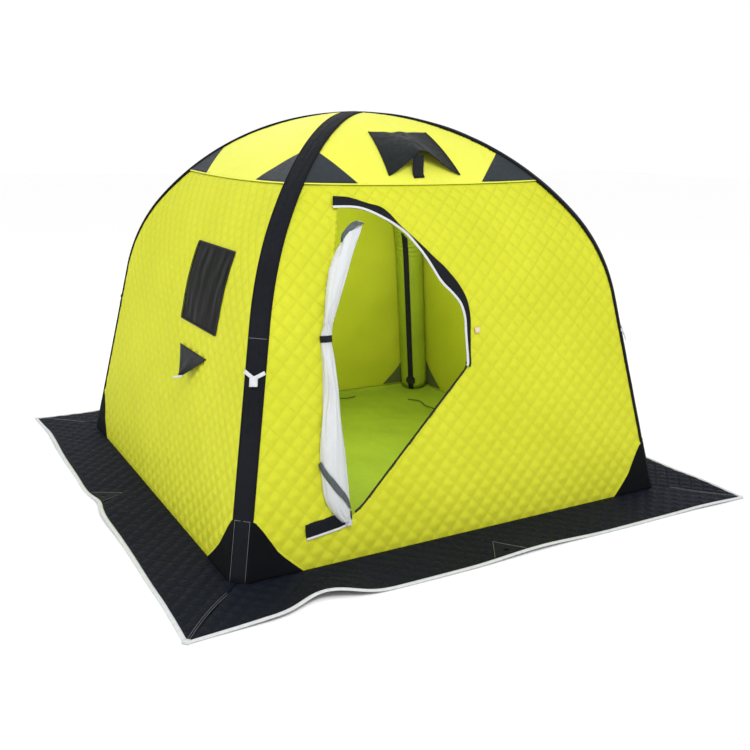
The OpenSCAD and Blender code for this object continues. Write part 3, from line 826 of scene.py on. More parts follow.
def walls():
    boots = loops_of(boot_lines)
    door = on_section(outline(HINGE_FOLD))
    holes = [[door], [window_hole(-1)], [], [window_hole(1)]]
    front = [f"front_wall_{part}" for part in ("hinge_side", "head", "zip_side", "base")]
    for side, label in enumerate(SIDES):
        name = f"{label}_wall" if side == 0 else f"{label}_wall_quilt"
        nodes = front if side == 0 else [f"{label}_wall"]
        quilted_panel(name, side, [wall_loop(), *holes[side]], boots + holes[side], nodes,
                                  11 + side)
    for side in range(4):
        lining_panel(side, [wall_loop(), *holes[side]])


def roofs():
    patches = loops_of(gusset_lines)
    for side, label in enumerate(SIDES):
        at, faces, _, gap = trimmed_grid(0.012, [roof_loop()])
        rise = fade(gap, 0.25)
        out = 0.004 * rise + noise_at(at, 0.4, 60 + side) * 0.002 * rise
        out += 0.0012 * np.sin(at[:, 0] * TAU / 0.05) * np.exp(-(at[:, 1] - SEAM_S) / 0.03)
        free = flattened(at, patches + [hood_print()] * (side in (0, 2)), 0.03)
        points = on_panel(side, at[:, 0], at[:, 1], out * free)
        points = swell(points, faces, border(at, faces) | (free < 0.6), 0.4, 0.004, 0.003)
        node = f"roof_{label}"
        piece = new_mesh(f"{node}_sheet", points, faces, roof_cloth, "roof_fabric", (node,), at)
        thicken(piece, 0.004)
        declare_sheet(piece)


def seam_tapes():
    """The sewn seam between walls and roof."""
    for side, label in enumerate(SIDES):
        points, faces = panel_band(side, seam_line(), band(0.007, 0.0016), 0.0006)
        new_mesh(f"roof_seam_{label}", points, faces, roof_cloth, "roof_fabric", (), points[:, [0, 2]])


# --- beams and sleeves ----------------------------------------------------------------------
def corner_line(off, turns, landing):
    """Points (r, z) down a corner beam and its outward normals, to a landing height."""
    r, z = arch(turns, off)
    steps = 24
    z_leg = z[-1] + (landing - z[-1]) * np.linspace(0, 1, steps + 1)[1:]
    r_leg = r[-1] + (z[-1] - z_leg) / math.tan(LEG_TURN)
    turn = np.append(turns, np.full(steps, turns[-1]))
    return np.append(r, r_leg), np.append(z, z_leg), np.sin(turn), np.cos(turn)


def corner_points(corner, r, across, z):
    """Points beside a corner's diagonal plane, from distance r, offset across and height z."""
    a = math.radians(-135 + 90 * corner)
    r, across, z = np.broadcast_arrays(r, across, z)
    return np.stack([r * math.cos(a) - across * math.sin(a), r * math.sin(a) + across * math.cos(a),
                     z], -1)


def along_corner(corner, line, out, across, ring, keep):
    """A ring swept down a corner, at height out over its line."""
    r, z, nr, nz = (v[keep] for v in line)
    path = corner_points(corner, r + out * nr, across, z + out * nz)
    return swept(path, math.copysign(1, out) * corner_points(corner, nr, 0.0, nz), ring)


def sleeves():
    line = corner_line(0.0, np.linspace(math.radians(0.5), LEG_TURN, 110), 0.004)
    r, z, nr, nz = (v[:, None] for v in line)
    along = run_length(line[0], line[1])
    n, m = len(along), 17
    w = np.linspace(-1, 1, m)
    edge = SLEEVE_HALF + 0.0015
    crown = 0.0035 * (1 - w * w) - 0.0016 * np.abs(w) ** 6
    across = np.clip(w[None] * edge, -r - 0.001, r + 0.001)
    uv = np.stack([np.tile(w * edge, n), np.repeat(along, m)], 1)
    faces = grid_faces(n, m, flip=True) + grid_faces(n, m, n * m)
    for i in range(n - 1):
        k, q = i * m, n * m + i * m
        faces += [(k, q, q + m, k + m), (k + 2 * m - 1, q + 2 * m - 1, q + m - 1, k + m - 1)]
    last = (n - 1) * m
    faces.append(tuple([last + j for j in range(m)] + [n * m + last + j for j in reversed(range(m))])[::-1])
    for corner, name in enumerate(CORNERS):
        grip = noise_at(np.stack([np.repeat(along, m), np.tile(w * 0.4, n)], 1), 0.24, corner + 5)
        rise = (crown[None] + 0.0014 * grip.reshape(n, m) * (1 - w[None] ** 2)) + 0.001
        top = corner_points(corner, r + rise * nr, across, z + rise * nz)
        low = corner_points(corner, r - 0.007 * nr, across, z - 0.007 * nz)
        points = np.concatenate([top.reshape(-1, 3), low.reshape(-1, 3)])
        new_mesh(f"sleeve_band_{corner}", points, faces, sleeve_cloth, "sleeve_fabric",
                 (f"sleeve_{name}",), np.concatenate([uv, uv]))
        sleeve_stitches(corner, line)


def sleeve_stitches(corner, line):
    """Piping along both edges, and the white stitches across and down the sleeve."""
    r, z, nr, nz = line
    points, faces = joined([
        along_corner(corner, line, 0.0018, sign * (SLEEVE_HALF - 0.0025), oval(0.0026, 0.0022, 6),
                     r > SLEEVE_HALF + 0.01) for sign in (-1, 1)])
    new_mesh(f"sleeve_piping_{corner}", points, faces, sleeve_cloth, "sleeve_fabric", (),
             points[:, [0, 2]])
    parts = []
    for height in (0.905, BOOT_TOP):
        k = int(np.argmin(np.abs(z - height)))
        w = np.linspace(-1, 1, 15)
        rise = 0.0035 * (1 - w * w) + 0.0014
        path = corner_points(corner, r[k] + rise * nr[k], w * (SLEEVE_HALF - 0.002),
                             z[k] + rise * nz[k])
        parts.append(swept(path, corner_points(corner, nr[k], 0.0, nz[k]), oval(0.0014, 0.0010, 6)))
    for sign in (-1, 1):
        parts.append(along_corner(corner, line, 0.0026, sign * (SLEEVE_HALF - 0.009),
                                  oval(0.0012, 0.0009, 6), z < BOOT_TOP))
    new_mesh(f"sleeve_stitches_{corner}", *joined(parts), thread_white, "guy_webbing")


def beams():
    """Inflated tubes, gathered a little where they bend, each with a black zip cover inside."""
    turns = np.linspace(math.radians(7.2), LEG_TURN, 120)
    line = corner_line(SLEEVE_OFF, turns, 0.032)
    r, z, nr, nz = (v[:, None] for v in line)
    along = run_length(line[0], line[1])
    n, count = len(along), 40
    a = np.arange(count) * TAU / count
    inner = np.clip(-np.cos(a), 0, 1)[None]
    bent = (np.arange(n) < np.sum(turns < LEG_TURN - 0.01))[:, None] * 1.0
    gather = 0.0022 * np.sin(along[:, None] * TAU / 0.034 + 2 * np.sin(a)[None]) * inner * bent
    radius = BEAM_R - 0.0012 + gather
    uv = np.stack([np.tile(a * BEAM_R, n), np.repeat(along, count)], 1)
    for corner, name in enumerate(CORNERS):
        points = corner_points(corner, r + radius * np.cos(a) * nr, radius * np.sin(a),
                               z + radius * np.cos(a) * nz)
        points[..., 2] = np.maximum(points[..., 2], 0.004)
        piece = new_mesh(f"beam_tube_{corner}", points.reshape(-1, 3), tube_faces(n, count),
                         beam_cloth, "beam_fabric", (f"beam_{name}",), uv)
        keep = (line[1] > 0.02) & (line[1] < 1.42)
        cover = along_corner(corner, line, -(BEAM_R + 0.0005), 0.0, band(0.034, 0.003), keep)
        new_mesh(f"beam_zip_cover_{corner}", *cover, black_tape, "webbing")


# --- patches --------------------------------------------------------------------------------
def laid_patch(side, inner, outer, thick, out=0.0, across=24):
    """A thin patch ruled between two lines of (x, s), with its edges turned down to the cloth."""
    inner, outer = np.asarray(inner, float), np.asarray(outer, float)
    share = np.linspace(0, 1, across)[None, :, None]
    at = (inner[:, None] * (1 - share) + outer[:, None] * share).reshape(-1, 2)
    faces = grid_faces(len(inner), across)
    if np.cross(at[1] - at[0], at[across] - at[0]) < 0:
        faces = [f[::-1] for f in faces]
    gap, _ = nearest(at, [np.concatenate([inner, outer[::-1]])])
    height = out + thick * np.clip(gap / 0.004, 0.35, 1) + noise_at(at, 0.12, side + 3) * 0.0006
    top = on_panel(side, at[:, 0], at[:, 1], height)
    low = on_panel(side, at[:, 0], at[:, 1], out - 0.006)
    return *shell(top, low, faces), np.concatenate([at, at])


def corner_patches(lines, label, cloth):
    for corner, name in enumerate(CORNERS):
        left = laid_patch((corner + 3) % 4, *lines(1), 0.0024)
        right = laid_patch(corner, *lines(-1), 0.0024)
        new_mesh(f"{label}_patch_{name}", *joined([left[:2], right[:2]]), cloth, "patch_fabric",
                 (f"{label}_{name}",), np.concatenate([left[2], right[2]]))


def painted_boot_shadows():
    """Painted shadows of the boot patches on the lining inside the bottom corners, seen through the
    doorway: darker sheets where the boots block the light through the yellow walls.
    """
    for side, label in enumerate(SIDES):
        parts, places = [], []
        for sign in (1, -1):
            inner, outer = boot_lines(sign)
            share = np.linspace(0, 1, 12)[None, :, None]
            at = inner[:, None] * (1 - share) + (outer[:, None] - (0.02 * sign, 0)) * share
            at[..., 1] = 0.012 + at[..., 1] * 1.18
            faces = grid_faces(*at.shape[:2])
            rows = at.reshape(-1, 2)
            if sign < 0:
                faces = [f[::-1] for f in faces]
            parts.append((on_panel(side, rows[:, 0], rows[:, 1], -WALL_T - 0.005), faces))
            places.append(rows)
        new_mesh(f"painted_boot_shadows_{label}", *joined(parts), boot_shadow_cloth, "wall_quilt", (),
                 np.concatenate(places))


def windows():
    for side, sign, node in ((3, 1, "window_left"), (1, -1, "window_right")):
        at, faces, _, gap = trimmed_grid(0.008, [window_hole(sign, 0.003)])
        drift = at[:, 0] - 0.22 * at[:, 1] + 0.012 * noise_at(at, 0.16, 22)
        wave = 0.0013 * noise_at(np.stack([drift * 3.2, at[:, 1] * 0.5], 1), 0.3, 21)
        points = on_panel(side, at[:, 0], at[:, 1], -0.002 + wave * fade(gap, 0.03))
        sheet = new_mesh(f"{node}_film", points, faces, film, "window_film", (node,), at)
        declare_sheet(sheet)
    parts = []
    for side, sign in ((3, 1), (1, -1)):
        line = divided(window_hole(sign, 0.001), 0.02)
        parts.append(panel_band(side, line, band(0.008, 0.0012), 0.0005, closed=True))
    new_mesh("window_edge_bindings", *joined(parts), black_tape, "patch_fabric", ("window_borders",))


# --- doorway --------------------------------------------------------------------------------
def flap_line():
    """The doorway's edge under the storm flap, from the hinge to the knee, and its outward side."""
    edge = on_section(outline(DOOR, 0.0, 3.0))
    line = part_of(edge, lambda p: p[1] > s_at(FLAP_LOW_Z) and p[0] > FLAP_START + 0.06)[::-1]
    start = [(x, line[0][1]) for x in np.linspace(FLAP_START, line[0][0], 4)[:-1]]
    line = divided(np.concatenate([start, line]), 0.010, closed=False)
    ahead = smoothed(np.gradient(line, axis=0), 6)
    ahead /= np.linalg.norm(ahead, axis=1, keepdims=True)
    return line, run_length(*line.T), np.stack([-ahead[:, 1], ahead[:, 0]], 1)


def storm_flap():
    """The black cover over the zip, bound in white along its inner edge."""
    line, along, outward = flap_line()
    lengths, outer, seam = zip(*FLAP)
    outer = smoothed(np.interp(along, lengths, outer)[:, None], 8)[:, 0]
    seam = smoothed(np.interp(along, lengths, seam)[:, None], 8)[:, 0]
    rows = 7
    f = np.linspace(0, 1, rows)
    lift = 0.003 + 0.009 * (1 - f) ** 1.5
    points, uv = [], []
    for i in range(len(line)):
        reach = seam[i] - 0.004 + (outer[i] - seam[i] + 0.004) * f
        p = line[i] + outward[i] * reach[:, None]
        p[:, 0] += FLAP_SKEW * reach * max(0.0, 1 - along[i] / 0.10)
        points.append(on_panel(0, p[:, 0], p[:, 1], lift + 0.002 * math.sin(along[i] * 28) * (1 - f)))
        uv += [(along[i], r) for r in reach]
    piece = new_mesh("storm_flap_cloth", np.concatenate(points), grid_faces(len(line), rows, flip=True),
                     sleeve_cloth, "sleeve_fabric", ("storm_flap",), uv)
    thicken(piece, 0.002, 0)
    middle = line + outward * (seam - 0.0070)[:, None]
    path = on_panel(0, middle[:, 0], middle[:, 1], 0.009 + 0.002 * np.sin(along * 28))
    points, faces = swept(path, panel_normal(0, line[:, 1]), oval(0.0150, 0.0060, 12))
    edge = new_mesh("storm_flap_binding", points, faces, white_cloth, "binding", (), points[:, [0, 2]])
    declare_sheet(piece)


def lower_flap():
    """The short cover over the end of the zip, at the sill."""
    x = np.linspace(-0.786, -0.583, 20)
    low = np.interp(x, [-0.786, -0.64, -0.605, -0.583], [0.133, 0.149, 0.158, 0.170])
    high = np.interp(x, [-0.786, -0.61, -0.583], [0.186, 0.206, 0.204])
    low, high = (np.stack([x, np.interp(z, TABLE_Z, TABLE_S)], 1) for z in (low, high))
    points, faces, uv = laid_patch(0, low, high, 0.004, 0.002, 8)
    new_mesh("sill_flap", points, faces, sleeve_cloth, "sleeve_fabric", (), uv)
    piping = panel_band(0, low - np.array([0, 0.003]), oval(0.011, 0.008, 8), 0.004)
    new_mesh("sill_flap_piping", *piping, binding_tape, "binding")


def zip_line():
    """The zip's tape and teeth along the doorway's edge, from the flap's end down to the sill."""
    edge = on_section(outline(DOOR, -0.004, 3.0))
    line = part_of(edge, lambda p: s_at(0.166) < p[1] < s_at(FLAP_LOW_Z + 0.02) and p[0] > -0.575)
    new_mesh("zip_tape_cloth", *panel_band(0, line, band(0.009, 0.003), -0.004), black_tape, "webbing",
             ("zip_tape",))
    along = run_length(*line.T)
    teeth = []
    for start in np.arange(0.0, along[-1], 0.0045):
        ends = [[np.interp(t, along, axis) for axis in line.T] for t in (start, start + 0.0024)]
        teeth.append(panel_band(0, ends, band(0.0045, 0.0016), -0.001))
    new_mesh("zip_teeth", *joined(teeth), hard_black, "webbing", smooth=False)


def door_roll():
    """The door panel, gathered at the hinge seam and tied round its waist."""
    z0, left, right, depth = np.array(ROLL).T
    z = np.linspace(z0[0], z0[-1], 150)
    x, half, depth = (np.interp(z, z0, v) for v in ((left + right) / 2, (right - left) / 2, depth))
    for _ in range(6):
        x, half, depth = (np.convolve(np.pad(v, 1, "edge"), [0.25, 0.5, 0.25], "valid")
                          for v in (x, half, depth))
    n, count = len(z), 88
    a = np.arange(count) * TAU / count
    waist = np.exp(-((z - DOOR_TIE_Z) / 0.07) ** 2)[:, None]
    phase = 1.5 * np.sin(z * 5.0)[:, None]
    fold = (0.10 * np.sin(5 * a[None] + phase) + 0.07 * np.sin(9 * a[None] - 1.3 * phase + 1.0)
            + 0.05 * np.sin(14 * a[None] + 2 * phase))
    r = 1 + fold * (0.55 + 0.9 * waist) * 0.5
    across = x[:, None] + half[:, None] * r * np.cos(a)[None]
    rise = 0.006 + depth[:, None] * r * np.sin(a)[None] * 0.8
    slant = np.clip((z - 1.14) / 0.16, 0, 1)[:, None] * (0.022 + 0.050 * ((1 - np.cos(a)) / 2)[None] ** 2)
    s = np.interp(z, TABLE_Z, TABLE_S)[:, None] - slant
    points = on_panel(0, across, s, rise).reshape(-1, 3)
    faces = tube_faces(n, count)
    pins = np.repeat((np.abs(z - DOOR_TIE_Z) < 0.016) | (z < z[2]) | (z > z[-3]), count)
    points = swell(points, faces, pins, 2.0, 0.03, 0.008)
    uv = np.stack([np.tile(a * 0.07, n), np.repeat(z, count)], 1)
    piece = new_mesh("door_gathered", points, faces, white_cloth, "door_lining", ("door_roll",), uv)
    door_bands(points.reshape(n, count, 3), z)


def door_bands(surface, z):
    """Zip tapes sewn to the door's edges, and the strap round its waist."""
    count = surface.shape[1]
    lines = {
        "door_zip_band_low": [(0.42, 176), (0.385, 150), (0.345, 118), (0.30, 88), (0.26, 60),
                              (0.225, 28)],
        "door_zip_band_top": [(1.305, 188), (1.314, 165), (1.316, 135), (1.316, 105), (1.316, 75),
                              (1.316, 15)],
    }
    for name, line in lines.items():
        share = np.linspace(0, len(line) - 1, 30)
        path, normals = [], []
        for height, angle in zip(*[np.interp(share, range(len(line)), v) for v in zip(*line)]):
            ring = surface[int(np.argmin(np.abs(z - height)))]
            point = ring[int(round(angle / 360 * count)) % count]
            outward = point - ring.mean(0)
            outward /= max(np.linalg.norm(outward), 1e-6)
            path.append(point + outward * 0.003)
            normals.append(outward)
        new_mesh(name, *swept(smoothed(path, 6), smoothed(normals, 6), band(0.026, 0.003)), grey_tape,
                 "webbing")
    ring = surface[int(np.argmin(np.abs(z - DOOR_TIE_Z)))]
    centre = ring.mean(0)
    loop = smoothed(centre + (ring - centre) * 1.05, 8, closed=True)
    normals = loop - centre
    normals /= np.linalg.norm(normals, axis=1, keepdims=True)
    new_mesh("door_strap", *swept(loop, normals, band(0.026, 0.003), closed=True), black_tape, "webbing",
             ("door_tie",))


# --- skirt ----------------------------------------------------------------------------------
SKIRT_DIPS = {                # where each side's edge is pulled in: x, how far, over what width
    0: (-0.85, 0.062, 0.12), 1: (0.3, 0.03, 0.2), 2: (-0.5, 0.03, 0.2), 3: (0.05, 0.025, 0.12),
}


def skirt_wave(side, x):
    """How far the skirt's outer edge draws in, and how high it lifts, along one side."""
    x = np.asarray(x, float)
    ends = np.clip((SKIRT_OUT - np.abs(x)) / 0.3, 0, 1)
    seed = side * 1.7
    place, depth, width = SKIRT_DIPS[side]
    draw = 0.006 + 0.006 * np.sin(x * 3.1 + seed) + 0.003 * np.sin(x * 7.7 + 2 * seed)
    draw = draw + depth * np.exp(-((x - place) / width) ** 2)
    lift = 0.005 + 0.005 * np.sin(x * 5.3 + seed + 1) + 0.002 * np.sin(x * 11.1 + seed)
    lift = lift + depth * 0.45 * np.exp(-((x - place - 0.08) / width) ** 2)
    return np.clip(draw, 0, None) * ends, np.clip(lift, 0.001, None) * ends


def skirt_place(side, x, y, up):
    """A point of the skirt: x along the side, y outwards from the middle."""
    reach = np.clip((y - FOOT) / (SKIRT_OUT - FOOT), 0, 1)
    draw, lift = skirt_wave(side, x * (SKIRT_OUT / np.maximum(y, FOOT)))
    y = y - draw * reach ** 1.5
    z = 0.0085 * (1 - reach) + 0.007 + lift * reach ** 1.5 * np.sin(reach * math.pi / 2) + up
    return turned(np.stack([x, -y, z], -1), side)


def skirt_triangle(half, inset, depth):
    """The reinforcing patch round a peg eyelet, or the stitches in it."""
    return np.array([(-half, SKIRT_OUT - inset), (0.0, SKIRT_OUT - depth), (half, SKIRT_OUT - inset)])


def skirts():
    inner, outer = FOOT - 0.006, SKIRT_OUT - 0.009
    tip, turn_in = FOOT - 0.030, FOOT - 0.060    # the corners reach in under the sleeves
    patch = divided(skirt_triangle(0.085, 0.016, 0.150), 0.02)
    for side, label in enumerate(SIDES):
        loop = divided(np.array([(tip, tip), (outer, outer), (-outer, outer), (-tip, tip),
                                 (-turn_in, inner), (turn_in, inner)]), 0.03)
        at, faces, grid, gap = trimmed_grid(CELL, [loop])
        free = flattened(at, [patch]) * fade(gap, 0.02)
        fine = noise_at(at, 0.14, side + 70) * 0.0014 * fade(gap, 0.05)
        up = QUILT_PUFF * quilt_height(grid) * free + fine - 0.003
        points = skirt_place(side, at[:, 0], at[:, 1], up)
        pins = on_stitch(grid) | border(at, faces) | (free < 0.5)
        points = swell(points, faces, pins, -1.2, 0.010, 0.003)
        low = points.copy()
        low[:, 2] = np.minimum(np.maximum(points[:, 2] - SKIRT_T, 0.0008), points[:, 2] - 0.001)
        both, faces = shell(points, low, faces)
        piece = new_mesh(f"skirt_{label}_quilt", both, [f[::-1] for f in faces], skirt_cloth,
                         "skirt_quilt", (f"skirt_{label}",), np.concatenate([at, at]))
        skirt_patch(side, label, patch)


def skirt_patch(side, label, patch):
    at, faces, _, gap = trimmed_grid(0.006, [patch])
    hole = np.hypot(at[:, 0], at[:, 1] - (SKIRT_OUT - 0.05))
    faces = [f[::-1] for f in faces if min(hole[list(f)]) > 0.007]
    points = skirt_place(side, at[:, 0], at[:, 1], -0.0005 + 0.0016 * fade(gap, 0.005))
    piece = new_mesh(f"eyelet_patch_{label}", points, faces, eyelet_cloth, "patch_fabric", (), at)
    thicken(piece, 0.002)
    line = divided(skirt_triangle(0.080, 0.020, 0.144), 0.01, closed=False)
    path = skirt_place(side, line[:, 0], line[:, 1], 0.0018)
    new_mesh(f"eyelet_patch_stitches_{label}", *swept(path, UP, oval(0.0016, 0.001, 6)), thread_white,
             "guy_webbing")


def skirt_trim():
    """White binding round the skirt's edge, and the double stitches of its mitred corners."""
    edges, corners, stitches = [], [], []
    y = np.linspace(FOOT + 0.035, SKIRT_OUT - 0.02, 30)
    bow = 0.02 * np.sin((y - y[0]) / (y[-1] - y[0]) * math.pi)
    for side in range(4):
        x = np.linspace(-SKIRT_OUT + 0.004, SKIRT_OUT - 0.004, 160)
        path = skirt_place(side, x, np.full_like(x, SKIRT_OUT - 0.006), -0.003)
        edges.append(swept(path, UP, oval(0.018, 0.0085, 10)))
        corner = turned(np.array([SKIRT_OUT - 0.004, -SKIRT_OUT + 0.004, 0.006]), side)
        away = corner * np.array([1, 1, 0]) / np.linalg.norm(corner[:2])
        path = np.array([corner - away * 0.02, corner - away * 0.01, corner + away * 0.003])
        corners.append(swept(path, UP, oval(0.03, 0.010, 10)))
        for offset in (-0.0065, 0.0065):
            path = skirt_place(side, y + offset - bow, y - bow * 0.3, 0.0022)
            stitches.append(swept(path, UP, oval(0.0012, 0.0009, 6)))
    new_mesh("skirt_edge_binding", *joined(edges + corners), binding_tape, "binding", ("skirt_binding",))
    new_mesh("skirt_corner_stitches", *joined(stitches), thread_white, "guy_webbing")


# --- vents ----------------------------------------------------------------------------------
def hood(name, rows, uv, node, turn_over=False):
    """The sheet of a vent's hood through rows of points."""
    faces = grid_faces(len(rows), len(rows[0]))
    if turn_over:
        faces = [f[::-1] for f in faces]
    piece = new_mesh(name, np.concatenate(rows), faces, hood_cloth, "sleeve_fabric", node, uv)
    thicken(piece, 0.0025, 0)
    declare_sheet(piece)


def roof_vents():
    """Hoods sewn down at the back and sides, propped open at the mouth by a strap."""
    for side, label in ((0, "front"), (2, "back")):
        rows, uv = [], []
        for f in np.linspace(0, 1, 26):
            y = HOOD_Y[0] + (HOOD_Y[1] - HOOD_Y[0]) * f
            half = HOOD_HALF[0] + (HOOD_HALF[1] - HOOD_HALF[0]) * f
            w = np.linspace(-1, 1, 41)
            shape = np.clip(1 - np.abs(w) * 1.02, 0, 1)
            tent = np.clip((1 - np.maximum(np.abs(w) - 0.11, 0) / 0.89), 0, 1)
            row = on_panel(side, w * half, s_from_y(y - 0.022 * f * tent), 0.0)
            row[:, 2] += 0.080 * f ** 1.15 * tent ** 1.25 + 0.0035 + HOOD_CRUMPLE * shape * noise_at(
                np.stack([w * half, np.full_like(w, y)], 1), 0.09, 31)
            rows.append(row)
            uv += [(a * half, y) for a in w]
        hood(f"roof_vent_hood_{label}", rows, uv, ("roof_vents",) if side == 0 else ())
        strap = [(-0.024, 0.598, 0.068), (-0.028, 0.606, 0.048), (-0.033, 0.613, 0.028),
                 (-0.037, 0.621, 0.009), (-0.036, 0.632, 0.003)]
        path = [on_panel(side, x, s_from_y(y)) + UP * up for x, y, up in strap]
        new_mesh(f"roof_vent_strap_{label}",
                 *swept(path, turned((0, -1.0, 0.35), side), band(0.054, 0.003)), black_tape, "webbing")
        edges = [swept(np.array(edge) + 0.001 * UP, turned((0, -0.6, 0.8), side), oval(0.006, 0.0045, 8))
                 for edge in ([r[0] for r in rows], [r[-1] for r in rows], rows[-1])]
        new_mesh(f"roof_vent_piping_{label}", *joined(edges), black_tape, "webbing")


def low_vents():
    """Small triangular hoods on the side walls, held off the wall by a toggle."""
    for side, sign, label in ((3, 1, "left"), (1, -1, "right")):
        rows, uv = [], []
        for f in np.linspace(0, 1, 18):
            half = 0.1675 * (1 - f) + 0.010 * f
            w = np.linspace(-1, 1, 25)
            z = 0.732 - 0.104 * f
            lift = 0.004 + 0.050 * f ** 1.1 * (1 - 0.25 * np.abs(w)) + 0.004 * f * np.sin(w * 5)
            rows.append(on_panel(side, sign * WINDOW_OFF + w * half, s_at(z), lift))
            uv += [(a * half, z) for a in w]
        hood(f"low_vent_hood_{label}", rows, uv, ("low_vents",) if side == 3 else (),
             turn_over=True)
        line = [(sign * WINDOW_OFF + t * 0.168, s_at(0.733)) for t in np.linspace(-1, 1, 20)]
        new_mesh(f"low_vent_piping_{label}", *panel_band(side, line, oval(0.004, 0.004, 8), 0.005),
                 black_tape, "webbing")
        root = on_panel(side, sign * 0.330, s_at(0.627), 0.036)
        end = on_panel(side, sign * 0.312, s_at(0.614), 0.072)
        path = [root * (1 - t) + end * t for t in np.linspace(0, 1, 6)]
        new_mesh(f"low_vent_toggle_{label}", *swept(path, UP, oval(0.013, 0.010, 10)), binding_tape,
                 "binding")


# --- guy loops, tab and floor ---------------------------------------------------------------
def on_sleeve(corner, height, across, up):
    """A point over a sleeve's straight leg."""
    r0, z0 = arch(LEG_TURN, 0.0)
    r = r0 + (z0 - height) / math.tan(LEG_TURN)
    up = up + 0.0045 * (1 - (across / SLEEVE_HALF) ** 2)
    return corner_points(corner, r + up * math.sin(LEG_TURN), across, height + up * math.cos(LEG_TURN))


def guy_loops():
    """A flat V of white webbing across each sleeve, with a tab that hangs from it."""
    arms, tabs = [], []
    across = np.linspace(-0.0415, 0.0415, 25)
    rise = GUY_RISE * np.sqrt((across / 0.0415) ** 2 + 0.02) + 0.008
    for corner in range(4):
        normal = corner_points(corner, math.sin(LEG_TURN), 0.0, math.cos(LEG_TURN))
        path = [on_sleeve(corner, GUY_Z + h, x, 0.004) for x, h in zip(across, rise)]
        arms.append(swept(path, normal, band(0.015, 0.003)))
        path = [on_sleeve(corner, GUY_Z + 0.014 - 0.034 * d, 0.003 * d, 0.005 + 0.004 * d)
                for d in np.linspace(0, 1, 8)]
        tabs.append(swept(path, normal, band(0.033, 0.004)))
    new_mesh("guy_loop_webbing", *joined(arms), binding_tape, "guy_webbing", ("guy_loops",))
    new_mesh("guy_loop_tabs", *joined(tabs), binding_tape, "guy_webbing")


def door_tab():
    """The small pale tab at the end of the door's zip cover."""
    line = divided(np.array([(0.070, s_at(0.853)), (0.095, s_at(0.855))]), 0.006, closed=False)
    new_mesh("door_pull_tab", *panel_band(0, line, band(0.024, 0.004), 0.001), tab_cloth, "binding")


def floor_sheet():
    inner = FOOT - 0.022
    cut = inner - 0.05        # the corners are cut off behind the beams
    loop = divided(np.array([(-cut, -inner), (cut, -inner), (inner, -cut), (inner, cut),
                             (cut, inner), (-cut, inner), (-inner, cut), (-inner, -cut)]), 0.05)
    at, faces, _, gap = trimmed_grid(0.018, [loop])
    up = 0.0042 + 0.0035 * np.clip(noise_at(at, 0.5, 90), -0.6, 1) * fade(gap, 0.1)
    up += 0.0016 * noise_at(at, 0.17, 91)
    up += 0.012 * np.clip(1 - gap / 0.05, 0, 1)
    points = np.column_stack([at, np.maximum(up, 0.0015)])
    piece = new_mesh("floor_cloth", points, faces, floor_cloth, "floor_sheet", ("floor",), at)
    thicken(piece, 0.0012, 0)
    declare_sheet(piece)


def floor_cords():
    """Two thin dark cords that lie on the floor sheet."""
    parts = []
    for line in ([(0.78, 0.72), (0.84, 0.66), (0.80, 0.56), (0.83, 0.44), (0.78, 0.30)],
                 [(0.40, 0.93), (0.45, 0.90), (0.51, 0.93)]):
        path = smoothed(divided(np.array(line), 0.015, closed=False), 12)
        path = np.column_stack([path, np.full(len(path), 0.014)])
        parts.append(swept(path, UP, oval(0.006, 0.005, 6)))
    new_mesh("floor_cords", *joined(parts), black_tape, "webbing")


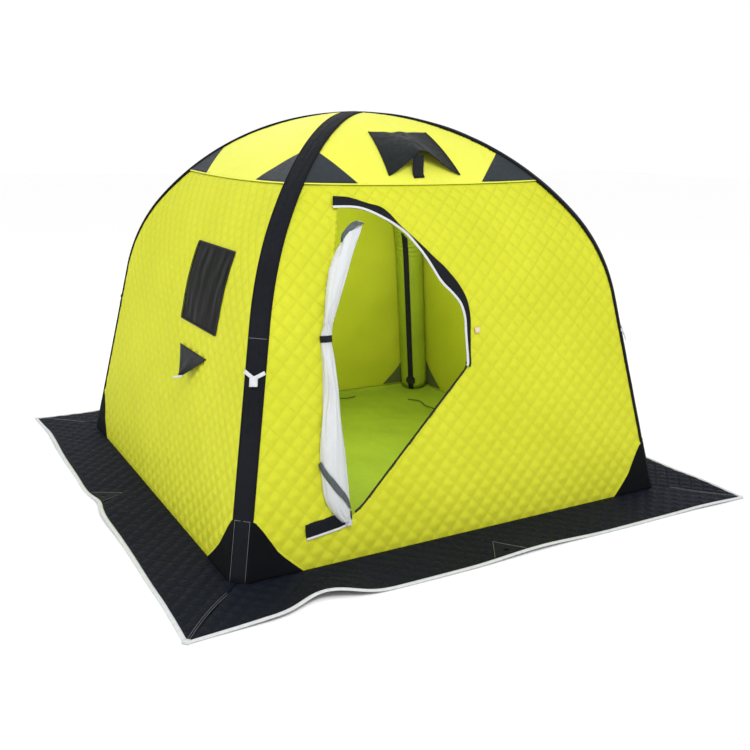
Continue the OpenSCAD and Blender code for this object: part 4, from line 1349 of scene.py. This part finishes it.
# --- studio ---------------------------------------------------------------------------------
def studio():
    mesh = bpy.data.meshes.new("studio_floor")
    mesh.from_pydata([(-30, -30, 0), (30, -30, 0), (30, 30, 0), (-30, 30, 0)], [], [(0, 1, 2, 3)])
    floor = bpy.data.objects.new("studio_floor", mesh)
    bpy.context.scene.collection.objects.link(floor)
    g = Graph("studio_floor", 0.9, 0.0, 0.1)
    g.set_shader("Base Color", (0.985, 0.985, 0.985))
    mesh.materials.append(g.material)
    world = bpy.data.worlds.new("studio")
    bpy.context.scene.world = world
    world.use_nodes = True
    world.node_tree.nodes["Background"].inputs["Color"].default_value = (1, 1, 1, 1)
    world.node_tree.nodes["Background"].inputs["Strength"].default_value = 1.0
    lamp("key", (-1.6, -4.4, 5.2), (0, 0, 0.8), 1.6, 125)
    lamp("left", (-5.0, -0.6, 3.0), (0, 0, 0.8), 2.0, 28)
    lamp("back", (1.0, 5.0, 4.5), (0, 0, 1.0), 3.0, 40)
    lamp("inside", (-0.05, -0.5, 1.25), (0.3, 0.8, 0.45), 0.5, 18)
    lamp("inside_floor", (0.0, 0.0, 1.5), (0.0, -0.1, 0.0), 0.6, 2.5)


def lamp(name, place, aim, size, power):
    data = bpy.data.lights.new(name, "AREA")
    data.size = size
    data.energy = power
    light = bpy.data.objects.new(name, data)
    light.location = place
    light.rotation_euler = (Vector(aim) - Vector(place)).to_track_quat("-Z", "Y").to_euler()
    bpy.context.scene.collection.objects.link(light)


def camera():
    """Eye height, to the left of the front wall."""
    yaw, pitch, roll = (math.radians(v) for v in (29.801, -14.979, 1.012))
    ahead = Vector((math.cos(pitch) * math.sin(yaw), math.cos(pitch) * math.cos(yaw), math.sin(pitch)))
    level = ahead.cross(Vector((0, 0, 1))).normalized()
    upright = level.cross(ahead)
    right = level * math.cos(roll) + upright * math.sin(roll)
    up = -level * math.sin(roll) + upright * math.cos(roll)
    data = bpy.data.cameras.new("camera")
    data.lens = 43.66
    data.sensor_width = 36
    cam = bpy.data.objects.new("camera", data)
    turn = Matrix((right, up, -ahead)).transposed().to_4x4()
    cam.matrix_world = Matrix.Translation((-2.1748, -4.0117, 1.6616)) @ turn
    bpy.context.scene.collection.objects.link(cam)
    bpy.context.scene.camera = cam
    bpy.context.scene.view_settings.view_transform = "Standard"


camera()
walls()
roofs()
seam_tapes()
sleeves()
beams()
corner_patches(gusset_lines, "gusset", gusset_lit_cloth)
corner_patches(boot_lines, "boot", patch_cloth)
windows()
storm_flap()
lower_flap()
zip_line()
door_roll()
skirts()
skirt_trim()
roof_vents()
low_vents()
guy_loops()
door_tab()
floor_sheet()
floor_cords()
painted_boot_shadows()
for node, material in (("crown_joint", beam_cloth), ("peg_eyelets", hard_black),
                       ("inflation_valve", hard_black)):
    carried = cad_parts[node]
    carried.data.materials.clear()
    carried.data.materials.append(material)
studio()
